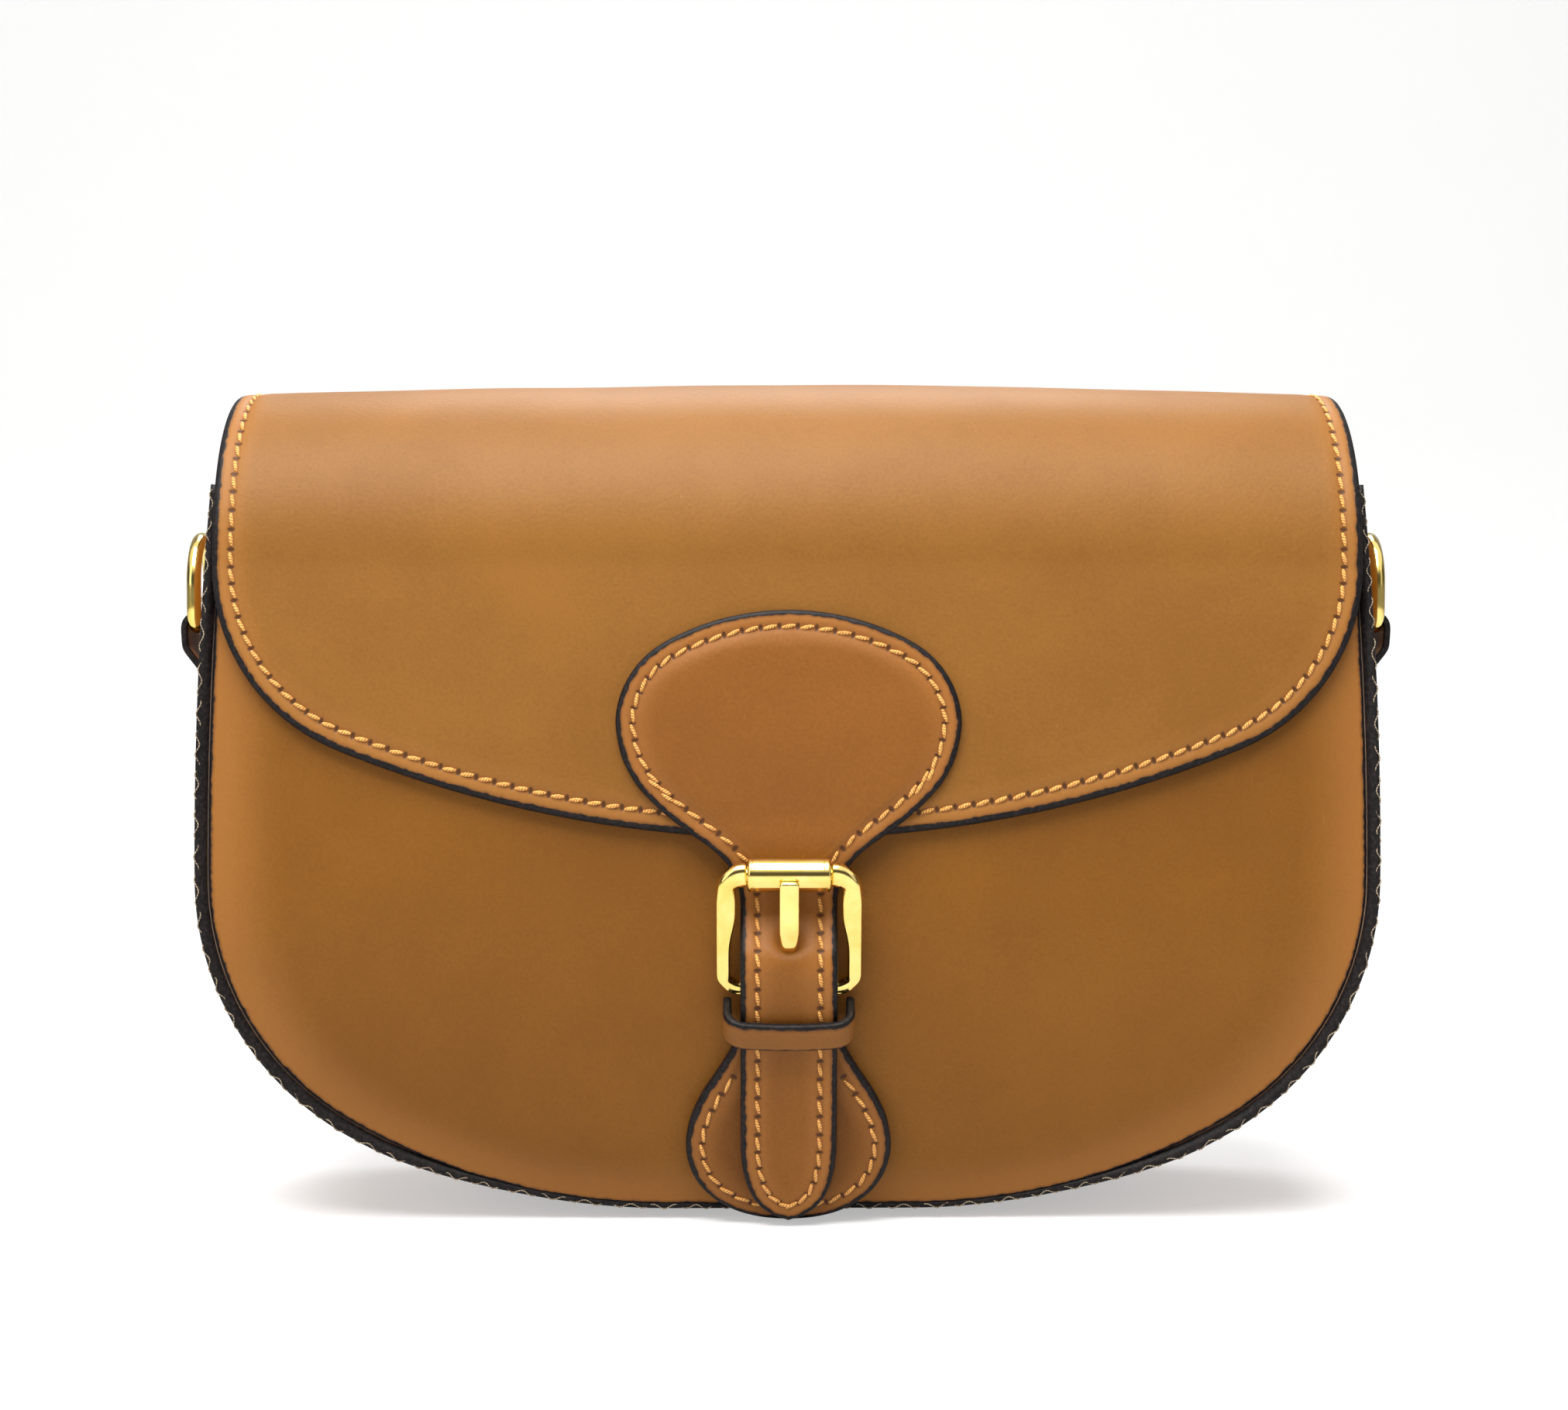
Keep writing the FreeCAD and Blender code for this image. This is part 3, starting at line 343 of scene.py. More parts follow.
def thread_template(length, width, rows=7, around=8, ply=0.14):
    """One stitch: a round thread with two plies, thinner at both ends, which dive below the leather."""
    v = np.linspace(-1, 1, rows)[:, None]
    turn = np.linspace(0, 2 * math.pi, around + 1)[None, :]
    plies = 1 + ply * np.cos(2 * turn + 4.4 * v)
    radius = width / 2 * np.sqrt(np.clip(1.02 - np.abs(v) ** 3.2, 0, 1)) * plies
    along = v * length / 2 + 0 * turn
    across = radius * np.cos(turn)
    rise = radius * np.sin(turn) * 0.8 + width * (0.26 - 0.62 * v ** 4)
    uv = np.stack([(v + 1) * length / 2 + 0 * turn, turn * width / 2 + 0 * v], -1)
    return np.stack([along, across, rise], -1), uv


def sewing(name, outline, course, inset, pitch, width, relief, spans=None, lean=12.0, doubled=()):
    """Stitches at an even pitch along an outline, turned by lean degrees from it; each stitch follows the
    course, so its place is the outline's point at (u, inset), plus the template's own place on it."""
    count = int(round(outline.length / pitch))
    true_pitch = outline.length / count
    u = (np.arange(count) + 0.5) * true_pitch
    if spans:
        keep = np.zeros(count, bool)
        for low, high in spans:
            keep |= (u > low) & (u < high)
        u = u[keep]
    inset = inset + 0 * u
    for low, high in doubled:
        again = u[(u > low) & (u < high)]
        u = np.concatenate([u, again + true_pitch * 0.35])
        inset = np.concatenate([inset, inset[:len(again)] - 0.55])
    centre, along = outline.at(u, inset)
    template, uv = thread_template(true_pitch * 0.86, width)
    sway = np.sin(u * 1.93) * 2.5
    angle = np.radians(lean + sway)[:, None]
    across = np.stack([-along[:, 1], along[:, 0]], -1)
    first = along * np.cos(angle) + across * np.sin(angle)
    second = -along * np.sin(angle) + across * np.cos(angle)
    flat = (centre[:, None, None, :] + template[None, ..., 0:1] * first[:, None, None, :]
            + template[None, ..., 1:2] * second[:, None, None, :])
    x, s = flat[..., 0], flat[..., 1]
    base = relief(centre[:, 0], centre[:, 1], inset)[:, None, None]
    points = course.place(x, s, template[None, ..., 2] + base)
    grids = [(points[k], uv, 0) for k in range(len(u))]
    piece = finish_mesh(name, grids, [GOLD_THREAD], weld=0.001)
    return piece, true_pitch


def sweep(path, side, out, section, closed=False, grow=None):
    """Carries a closed section along a path: point = path + side * section_x + out * section_y.
    Open ends are closed by shrinking the section on to its middle."""
    path, side, out = (np.asarray(a, float) for a in (path, side, out))
    section = np.vstack([section, section[:1]])
    scale = np.ones(len(path)) if grow is None else grow
    grid = (path[:, None] + side[:, None] * section[None, :, :1] * scale[:, None, None]
            + out[:, None] * section[None, :, 1:] * scale[:, None, None])
    if closed:
        grid = np.concatenate([grid, grid[:1]])
    else:
        grid = np.concatenate([path[:1, None] + 0 * grid[:1], grid, path[-1:, None] + 0 * grid[-1:]])
    uv = np.stack(np.broadcast_arrays(distance(grid.mean(1))[:, None], distance(section)[None, :]), -1)
    return grid, uv


def soft_box(width, depth, power=4.0, count=32):
    """A closed rounded-rectangle section: |x / a|^p + |y / b|^p = 1."""
    angle = np.linspace(0, 2 * math.pi, count, endpoint=False)
    c, s = np.cos(angle), np.sin(angle)
    return np.stack([np.sign(c) * np.abs(c) ** (2 / power) * width / 2,
                     np.sign(s) * np.abs(s) ** (2 / power) * depth / 2], 1)


# ---- finishes

def new_finish(name):
    material = bpy.data.materials.new(name)
    material.use_nodes = True
    nodes, links = material.node_tree.nodes, material.node_tree.links
    w = Wiring(nodes, links)
    return material, nodes["Principled BSDF"], w, w.add("ShaderNodeTexCoord").outputs["Object"]


def colour(red, green, blue):
    """A display colour from 0 to 255, as the linear one that a shader wants."""
    shares = [v / 255 for v in (red, green, blue)]
    return tuple(v / 12.92 if v <= 0.0404 else ((v + 0.055) / 1.055) ** 2.4 for v in shares) + (1,)


class Wiring:
    """Short ways of adding nodes."""

    def __init__(self, nodes, links):
        self.nodes, self.links = nodes, links

    def add(self, kind, **values):
        node = self.nodes.new(kind)
        for key, value in values.items():
            setattr(node, key, value)
        return node

    def feed(self, socket, value):
        if isinstance(value, bpy.types.NodeSocket):
            self.links.new(value, socket)
        else:
            socket.default_value = value

    def maths(self, operation, first, second=0.0):
        node = self.add("ShaderNodeMath", operation=operation)
        for socket, value in zip(node.inputs, (first, second)):
            self.feed(socket, value)
        return node.outputs[0]

    def times(self, first, second):
        return self.maths("MULTIPLY", first, second)

    def plus(self, first, second):
        return self.maths("ADD", first, second)

    def minus(self, first, second):
        return self.maths("SUBTRACT", first, second)

    def bump(self, shader, height, strength, depth):
        node = self.add("ShaderNodeBump")
        for socket, value in (("Strength", strength), ("Distance", depth), ("Height", height)):
            self.feed(node.inputs[socket], value)
        self.feed(shader.inputs["Normal"], node.outputs[0])

    def ramp(self, value, low, high, first=0.0, second=1.0):
        node = self.add("ShaderNodeMapRange", interpolation_type="SMOOTHSTEP")
        for socket, item in zip(node.inputs, (value, low, high, first, second)):
            self.feed(socket, item)
        return node.outputs[0]

    def blend(self, share, first, second):
        node = self.add("ShaderNodeMix", data_type="RGBA")
        self.feed(node.inputs[0], share)
        self.feed(node.inputs[6], first)
        self.feed(node.inputs[7], second)
        return node.outputs[2]

    def noise(self, where, scale, detail=3.0, rough=0.5, warp=0.0):
        node = self.add("ShaderNodeTexNoise")
        self.feed(node.inputs["Vector"], where)
        self.feed(node.inputs["Scale"], scale)
        self.feed(node.inputs["Detail"], detail)
        self.feed(node.inputs["Roughness"], rough)
        self.feed(node.inputs["Distortion"], warp)
        return node.outputs["Fac"]

    def cells(self, where, scale):
        node = self.add("ShaderNodeTexVoronoi", feature="SMOOTH_F1")
        self.feed(node.inputs["Vector"], where)
        self.feed(node.inputs["Scale"], scale)
        return node.outputs["Distance"]


def tan_leather(name, edge, hole_inset=None, hole_pitch=None, dark=(118, 76, 25), light=(132, 87, 32),
                border=0.3, reach=9.0):
    """Waxed full-grain hide: slow clouds of colour, fine pores and short scratches, a burnished darker border,
    black edge paint within `edge` mm of the cut, awl holes where the thread goes in, and a painted highlight that
    lightens the hide from `reach` mm in towards the cut, with `border` as its strength."""
    material, shader, w, where = new_finish(name)
    clouds = w.noise(where, 14, 2, 0.45, 0.4)
    blotch = w.noise(where, 60, 3, 0.55, 0.2)
    pores = w.noise(where, 1500, 3, 0.65)
    pebble = w.cells(where, 1250)
    tone = w.plus(w.times(clouds, 0.4), w.times(blotch, 0.22))
    tone = w.plus(tone, w.times(pores, 0.38))
    body = w.blend(w.ramp(tone, 0.34, 0.66), colour(*dark), colour(*light))
    body = w.blend(w.ramp(pores, 0.62, 0.78, 0, 0.12), body, colour(70, 38, 12))
    stretched = w.add("ShaderNodeMapping")
    w.feed(stretched.inputs["Vector"], where)
    stretched.inputs["Scale"].default_value = (1.0, 1.0, 0.22)
    stretched.inputs["Rotation"].default_value = (0, 0.6, 0)
    scuff = w.noise(stretched.outputs[0], 420, 2, 0.5, 1.5)
    body = w.blend(w.ramp(scuff, 0.74, 0.84, 0, 0.10), body, colour(200, 146, 92))
    uv = w.add("ShaderNodeUVMap", uv_map="UVMap").outputs[0]
    parts = w.add("ShaderNodeSeparateXYZ")
    w.feed(parts.inputs[0], uv)
    u, v = parts.outputs[0], parts.outputs[1]
    ragged = w.times(w.minus(w.noise(where, 520, 2), 0.5), 0.0009)
    rim = w.plus(v, ragged)
    # painted highlight: from reach mm in towards the cut the hide is lightened, standing for the light its rounded
    # edge catches
    pale = w.ramp(rim, reach * MM, edge * MM, 0, border)
    body = w.blend(pale, body, colour(178, 118, 62))
    burnish = w.ramp(rim, (edge + 0.7) * MM, edge * MM, 0, 0.5)
    body = w.blend(burnish, body, colour(92, 52, 20))
    height = w.plus(w.times(pebble, 0.55), w.times(pores, 0.45))
    height = w.minus(height, w.ramp(scuff, 0.66, 0.8, 0, 0.25))
    rough = w.plus(w.ramp(tone, 0.35, 0.65, 0.47, 0.42), w.times(pores, 0.10))
    if hole_pitch:
        turns = w.plus(w.maths("DIVIDE", u, hole_pitch * MM), 0.5)
        du = w.times(w.minus(w.maths("FRACT", turns), 0.5), hole_pitch * MM)
        off = w.minus(v, hole_inset * MM)
        dv = w.times(off, 0.62)
        far = w.maths("SQRT", w.plus(w.times(du, du), w.times(dv, dv)))
        # painted shade: each awl hole is painted near black for the shade inside it, besides the dip in the bump
        spot = w.ramp(far, HOLE * 1.25 * MM, HOLE * 0.5 * MM)
        body = w.blend(w.times(spot, 0.9), body, colour(30, 15, 8))
        height = w.minus(height, w.times(spot, 1.2))
        line = w.ramp(w.maths("ABSOLUTE", off), 1.1 * MM, 0.2 * MM, 0, 0.3)
        body = w.blend(line, body, colour(106, 60, 22))
    paint = w.ramp(rim, (edge + 0.16) * MM, (edge - 0.16) * MM)
    lacquer = w.blend(w.ramp(w.noise(where, 1500, 2), 0.4, 0.7), colour(12, 9, 9), colour(34, 27, 27))
    body = w.blend(paint, body, lacquer)
    rough = w.plus(w.times(rough, w.minus(1.0, paint)), w.times(paint, 0.5))
    height = w.plus(height, w.times(paint, w.times(w.noise(where, 1100, 3), 1.3)))
    w.bump(shader, height, 0.42, 0.00016)
    w.feed(shader.inputs["Base Color"], body)
    w.feed(shader.inputs["Roughness"], rough)
    shader.inputs["Specular IOR Level"].default_value = 0.19
    return material


def black_edge():
    """Edge paint on a cut edge: near black, slightly uneven, with a satin shine."""
    material, shader, w, where = new_finish("black edge paint")
    grain = w.noise(where, 900, 4, 0.6)
    tone = w.blend(w.ramp(grain, 0.4, 0.72), colour(12, 9, 9), colour(40, 33, 32))
    w.feed(shader.inputs["Base Color"], tone)
    w.feed(shader.inputs["Roughness"], w.ramp(grain, 0.3, 0.7, 0.36, 0.6))
    w.bump(shader, grain, 0.6, 0.0003)
    return material


def suede(name, dark, light):
    """Flesh side of a hide: short soft nap in two tones."""
    material, shader, w, where = new_finish(name)
    nap = w.noise(where, 700, 5, 0.7)
    swirl = w.noise(where, 40, 3, 0.5, 1.0)
    tone = w.plus(w.times(nap, 0.5), w.times(swirl, 0.5))
    w.feed(shader.inputs["Base Color"], w.blend(w.ramp(tone, 0.38, 0.62), colour(*dark), colour(*light)))
    w.feed(shader.inputs["Roughness"], w.ramp(nap, 0.3, 0.7, 0.82, 0.98))
    shader.inputs["Sheen Weight"].default_value = 0.3
    shader.inputs["Sheen Roughness"].default_value = 0.45
    shader.inputs["Specular IOR Level"].default_value = 0.2
    w.bump(shader, nap, 0.6, 0.0003)
    return material


def waxed_thread(name, low, high):
    """Waxed thread: fine twist lines across each stitch."""
    material, shader, w, where = new_finish(name)
    uv = w.add("ShaderNodeUVMap", uv_map="UVMap").outputs[0]
    parts = w.add("ShaderNodeSeparateXYZ")
    w.feed(parts.inputs[0], uv)
    twist = w.plus(w.times(parts.outputs[0], 11000), w.times(parts.outputs[1], 5000))
    ridge = w.maths("SINE", twist)
    fibre = w.noise(where, 2200, 2)
    tone = w.plus(w.times(ridge, 0.22), fibre)
    w.feed(shader.inputs["Base Color"], w.blend(w.ramp(tone, 0.25, 0.75), colour(*low), colour(*high)))
    w.feed(shader.inputs["Roughness"], w.ramp(fibre, 0.3, 0.7, 0.5, 0.66))
    w.bump(shader, ridge, 0.5, 0.00012)
    shader.inputs["Sheen Weight"].default_value = 0.15
    return material


def polished_gold(name, warm=(250, 222, 138), cool=(236, 206, 112), low=0.09, high=0.16):
    """Pale gold plate: mirror polish broken by faint rubbing marks."""
    material, shader, w, where = new_finish(name)
    marks = w.noise(where, 180, 4, 0.6, 0.5)
    w.feed(shader.inputs["Base Color"], w.blend(w.ramp(marks, 0.35, 0.7), colour(*warm), colour(*cool)))
    shader.inputs["Metallic"].default_value = 1.0
    w.feed(shader.inputs["Roughness"], w.ramp(marks, 0.35, 0.75, low, high))
    w.bump(shader, marks, 0.06, 0.0002)
    return material


GOLD_THREAD = waxed_thread("gold thread", (176, 108, 34), (236, 176, 88))
PALE_THREAD = waxed_thread("pale lock thread", (92, 80, 64), (168, 150, 122))
EDGE = black_edge()
LINING = suede("suede lining", (96, 62, 36), (142, 100, 64))
FLESH = suede("flesh side", (120, 82, 48), (166, 122, 80))
METAL = polished_gold("polished pale gold")


# ---- camera, floor and light

def set_stage():
    camera = bpy.data.cameras.new("view")
    camera.lens = 65.8
    camera.sensor_width = 36
    camera.clip_start = 0.01
    holder = bpy.data.objects.new("view", camera)
    holder.location = (-0.0064, -0.610, 0.130)
    holder.rotation_euler = (math.radians(90 - 2.42), 0, math.radians(-0.55))
    bpy.context.collection.objects.link(holder)
    bpy.context.scene.camera = holder
    run = np.concatenate([np.linspace(-3, 0.9, 14), 0.9 + 0.7 * np.sin(np.radians(np.arange(10, 91, 10))),
                          np.full(6, 1.6)])
    rise = np.concatenate([np.zeros(14), 0.7 * (1 - np.cos(np.radians(np.arange(10, 91, 10)))),
                           np.linspace(0.9, 4, 6)])
    across = np.linspace(-4, 4, 9)
    grid = np.stack(np.broadcast_arrays(across[None, :], run[:, None], rise[:, None]), -1) / MM
    uv = grid[..., :2]
    white, shader, w, where = new_finish("white paper")
    tone = w.blend(w.noise(where, 3), (0.60, 0.60, 0.60, 1), (0.62, 0.62, 0.62, 1))
    w.feed(shader.inputs["Base Color"], tone)
    shader.inputs["Roughness"].default_value = 0.85
    shader.inputs["Specular IOR Level"].default_value = 0.1
    shader.inputs["Emission Color"].default_value = (1, 1, 1, 1)
    seen = w.add("ShaderNodeLightPath").outputs["Is Camera Ray"]
    w.feed(shader.inputs["Emission Strength"], w.times(seen, 0.44))
    floor = finish_mesh("floor", [(grid, uv, 0)], [white])
    if sum(face.normal.z for face in floor.data.polygons) < 0:
        floor.data.flip_normals()
    world = bpy.data.worlds.new("studio")
    world.use_nodes = True
    w = Wiring(world.node_tree.nodes, world.node_tree.links)
    background = world.node_tree.nodes["Background"]
    background.inputs[0].default_value = (1, 1, 1, 1)
    parts = w.add("ShaderNodeSeparateXYZ")
    w.feed(parts.inputs[0], w.add("ShaderNodeTexCoord").outputs["Generated"])
    dim = w.ramp(w.maths("ABSOLUTE", w.minus(parts.outputs[2], 0.2)), 0.12, 0.42, 0.10, 1.15)
    rays = w.add("ShaderNodeLightPath")
    glossy, seen = rays.outputs["Is Glossy Ray"], rays.outputs["Is Camera Ray"]
    plain_part = w.times(w.minus(1.0, glossy), 0.42)
    plain_part = w.plus(plain_part, w.times(seen, 0.8))
    w.feed(background.inputs[1], w.plus(plain_part, w.times(glossy, dim)))
    bpy.context.scene.world = world
    bpy.context.scene.view_settings.view_transform = "Standard"
    for name, place, aim, size, power, tint in (
            ("top light", (-0.14, -0.46, 1.08), (0, 0, 0.1), 0.9, 26.5, (1, 0.99, 0.97)),
            ("back light", (0.0, 0.60, 0.90), (0, 0, 0.15), 0.5, 5.0, (1, 1, 1)),
            ("left light", (-1.1, -0.9, 0.55), (0, 0, 0.08), 0.8, 3.4, (1, 1, 1)),
            ("right light", (1.1, -0.8, 0.5), (0, 0, 0.08), 0.7, 1.0, (1, 1, 1))):
        lamp = bpy.data.lights.new(name, "AREA")
        lamp.size = size
        lamp.energy = power
        lamp.color = tint
        holder = bpy.data.objects.new(name, lamp)
        holder.location = place
        holder.rotation_euler = (Vector(aim) - Vector(place)).to_track_quat("-Z", "Y").to_euler()
        bpy.context.collection.objects.link(holder)


set_stage()


# ---- courses

def rising(low, high, off, step=1.0):
    up = np.arange(low, high + step / 2, step)
    return np.stack([front_at(up, off), up], 1)


def flap_course():
    """Up the front, half round the fold and down the back."""
    front = rising(74, MOUTH, 0)
    fold = arc((0, MOUTH), FOLD, 180, 0, 60)[1:-1]
    down = np.arange(MOUTH, 98, -1.0)
    back = np.stack([back_at(down), down], 1)
    return FlapCourse(np.vstack([front, fold, back]), spread=1.2)


def tongue_course():
    """Outer face of the tongue: down the flap, behind the roller, out over the heel bar and on to the pear."""
    tail = rising(0.0, 33, 6.5)
    bends = np.array([heel_point(-4.5, 6.7), heel_point(0, 7.0), heel_point(5, 6.9), heel_point(9.2, 5.4),
                      heel_point(12.6, 1.4), heel_point(16, -2.4), heel_point(20.5, -3.8)])
    head = np.vstack([rising(79.5, 81, 5.0), rising(82, 127, 4.7)])
    return Course(np.vstack([tail, bends, head]), spread=1.3)


def pear_course():
    """Outer face of the pear: up the front and round the heel bar."""
    body = rising(-1, 42, 3.4)
    turn = [heel_point(3.0 * math.sin(a), 3.0 * math.cos(a)) for a in map(math.radians, range(-10, 171, 15))]
    return Course(np.vstack([body, turn, [heel_point(-4, -3.2)]]), spread=0.9)


class FlapCourse(Course):
    """The flap's course, whose fold stands fullest in the middle: at the sides it lies lower by
    2 (x / half)^2, fading away from the crest s0 as exp(-((s - s0) / 32)^2)."""

    def place(self, across, s, h):
        crest = self.run[int(np.argmax(self.line[:, 1]))]
        droop = 2.0 * (across / FLAP_HALF) ** 2 * np.exp(-((s - crest) / 32) ** 2)
        return super().place(across, s, h - droop)


FLAP_COURSE, TONGUE_COURSE, PEAR_COURSE = flap_course(), tongue_course(), pear_course()
PANEL_COURSE = Course(rising(0, MOUTH + 4, 0))


# ---- flap

def flap_half():
    """Right half of the flap: shallow lower edge, corner arcs, straight sides, small corners at the back."""
    edge_radius = 239.0
    meet = np.array([75, MOUTH]) - np.array([0, FLAP_EDGE + edge_radius])
    angle = math.degrees(math.atan2(meet[1], meet[0]))
    edge = arc((0, FLAP_EDGE + edge_radius), edge_radius, -90, angle, 60)
    side = arc((75, MOUTH), FLAP_HALF - 75, angle, 0, 40)
    front = np.vstack([edge, side[1:]])
    flat = np.stack([front[:, 0], FLAP_COURSE.from_height(front[:, 1])], 1)
    end = FLAP_COURSE.run[-1] - 1.0
    back = arc((FLAP_HALF - 9, end - 9), 9, 0, 90, 8)
    return np.vstack([flat, back, [(0, end)]])


FLAP_OUTLINE = Outline(both_sides(flap_half(), 1.25))
FLAP_STITCH = 3.9


def flap_relief(x, s, inset):
    """Height of the flap's face: thin at the border, a groove under the thread, slow swells inside."""
    inside = smooth_step(inset, 1.0, 14.0)
    groove = 0.38 * np.exp(-((inset - FLAP_STITCH) / 1.0) ** 2)
    swell = 0.30 * wander(x, s, 95, 1) + 0.16 * wander(x, s, 38, 4)
    return 2.9 + inside * swell - groove - 0.25 * (1 - smooth_step(inset, 0.4, 3.0))


def make_flap():
    """One hide from the lower edge over the fold to the seam on the back, its suede lining and its thread."""
    insets = [0.9, 1.3, 2.0, 2.7, 3.3, 3.9, 4.5, 5.2, 6.4, 7.8]
    thread, pitch = sewing("flap_stitching", FLAP_OUTLINE, FLAP_COURSE, FLAP_STITCH, 3.75, 0.8,
                           relief=flap_relief)
    tan = tan_leather("tan hide of the flap", 1.35, FLAP_STITCH, pitch)
    flap = cut_leather("flap", FLAP_OUTLINE, FLAP_COURSE, -1.15, [tan, FLESH], insets, 36,
                       relief=flap_relief, roll=1.1)
    lining = cut_leather("flap_suede", FLAP_OUTLINE, FLAP_COURSE, -0.3, [LINING, LINING],
                         [0.6, 2, 5, 7.5], 26, relief=lambda x, s, inset: 1.12 + 0 * x, roll=0.3)
    for piece in (flap, lining, thread):
        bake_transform(piece)
    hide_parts("flap_outer", "flap_anchor")
    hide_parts("flap_lining")


# ---- tongue: patch and strap

STRAP_HALF = STRAP_HIGH[0]


def tongue_half():
    """Right half of the tongue from its pointed tip, up the strap and out into the keyhole patch."""
    tip = STRAP_LOW[2]
    gothic = np.array([(0, 0), (2.9, 1.0), (5.3, 2.6), (7.2, 4.9), (8.5, 8.0), (9.25, 11.2), (STRAP_HALF, 15)])
    gothic = eased(gothic + np.array([0, tip]), 0.4, 0.5)
    gothic[0, 0] = 0
    flare = np.array([(STRAP_HALF, 30), (STRAP_HALF, 60), (STRAP_HALF, 68.5), (10.1, 71.2), (11.8, 74), (15.2, 77.4),
                      (20.4, 81.2), (25.6, 85.2), (30.2, 90), (33.2, 95.4)])
    half, wide, top = PATCH_HIGH[0], 102.0, PATCH_HIGH[2]
    shoulder = 19.0
    side = half - shoulder
    crown = (side ** 2 + (top - wide) ** 2 - shoulder ** 2) / (2 * (top - wide - shoulder))
    meet = math.degrees(math.atan2(wide - (top - crown), side))
    head = np.vstack([arc((side, wide), shoulder, 0, meet, 24), arc((0, top - crown), crown, meet, 90, 24)[1:]])
    upper = np.vstack([flare, head])
    soft = eased(upper, 0.5, 1.6)
    soft[:, 0] = np.maximum(soft[:, 0], 0)
    line = np.vstack([gothic, soft])
    return np.stack([line[:, 0], TONGUE_COURSE.from_height(line[:, 1])], 1)


TONGUE_OUTLINE = Outline(both_sides(tongue_half(), 0.9))
PATCH_START = float(TONGUE_COURSE.from_height(81.0))
STRAP_END = float(TONGUE_COURSE.from_height(66.0))
TONGUE_STITCH = 3.4
HOLE_AT = float(TONGUE_COURSE.from_height(59.2))


def tongue_relief(x, s, inset):
    """Groove under the thread, a quilted swell inside it on the patch, and the pull round the prong's hole."""
    groove = 0.34 * np.exp(-((inset - TONGUE_STITCH) / 0.9) ** 2)
    quilt = 0.35 * smooth_step(inset, 3.8, 7.5) * smooth_step(s, PATCH_START - 4, PATCH_START + 8)
    quilt = quilt * (1 - 0.55 * smooth_step(inset, 9, 20))
    pull = -1.5 * np.exp(-((x / 2.3) ** 2 + ((s - HOLE_AT - 0.6) / 2.6) ** 2))
    lip = 0.35 * np.exp(-((x / 3.4) ** 2 + ((s - HOLE_AT + 3.2) / 2.2) ** 2))
    swell = 0.12 * wander(x, s, 30, 2) * smooth_step(inset, 1, 6)
    return quilt - groove + pull + lip + swell - 0.22 * (1 - smooth_step(inset, 0.3, 2.6))


def make_tongue():
    insets = [0.8, 1.2, 1.8, 2.4, 2.9, 3.4, 3.9, 4.5]
    loop = TONGUE_OUTLINE.loop
    low, high = TONGUE_COURSE.from_height(84.5), TONGUE_COURSE.from_height(91.0)
    run = TONGUE_OUTLINE.run[(loop[:, 0] > 0) & (loop[:, 1] > low) & (loop[:, 1] < high)]
    tacks = [(run.min(), run.max()), (TONGUE_OUTLINE.length - run.max(), TONGUE_OUTLINE.length - run.min())]
    thread, pitch = sewing("tongue_stitching", TONGUE_OUTLINE, TONGUE_COURSE, TONGUE_STITCH, 3.95, 0.74,
                           relief=tongue_relief, doubled=tacks)
    # the tongue's tan is set a little darker than the flap's, part way to a painted shade of its lower strap
    tan = tan_leather("tan hide of the tongue", 1.05, TONGUE_STITCH, pitch,
                      dark=(116, 70, 22), light=(131, 81, 28))

    def thick(s):
        return 1.8 + 1.1 * (1 - smooth_step(s, STRAP_END, PATCH_START))

    tongue = cut_leather("tongue", TONGUE_OUTLINE, TONGUE_COURSE, thick, [tan, FLESH], insets, 16,
                         relief=tongue_relief, roll=0.8, spine=(0.09, 0.9))
    for piece in (tongue, thread):
        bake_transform(piece)
    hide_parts("tongue_patch", "tongue_strap", "strap_backing")


# ---- pear base and keeper

def pear_half():
    """Right half of the pear: round foot, flanks running in to the neck, and the strip round the heel bar."""
    half = PEAR_HIGH[0]
    low = PEAR_LOW[2]
    shape = np.array([(0, low), (5, low + 0.3), (9.9, low + 1.5), (13.8, low + 3.5), (17.3, low + 6.5),
                      (19.6, low + 10.2), (half - 0.15, low + 14), (half, low + 17.2), (19.7, 22.8), (17.3, 27.8),
                      (14.3, 32.2), (11.7, 36.4), (10.0, 40), (9.4, 43)])
    soft = eased(shape, 0.5, 1.5)
    soft[:, 0] = np.maximum(soft[:, 0], 0)
    flat = np.stack([soft[:, 0], PEAR_COURSE.from_height(soft[:, 1])], 1)
    return np.vstack([flat, [(9.4, PEAR_COURSE.run[-1] - 0.5), (0, PEAR_COURSE.run[-1] - 0.5)]])


PEAR_OUTLINE = Outline(both_sides(pear_half(), 0.8))
PEAR_STITCH = 3.3
PEAR_FOLD = float(PEAR_COURSE.from_height(41.0))


def pear_relief(x, s, inset):
    groove = 0.34 * np.exp(-((inset - PEAR_STITCH) / 0.9) ** 2)
    swell = 0.15 * wander(x, s, 26, 3) * smooth_step(inset, 1, 6)
    return swell - groove - 0.25 * (1 - smooth_step(inset, 0.3, 2.6))


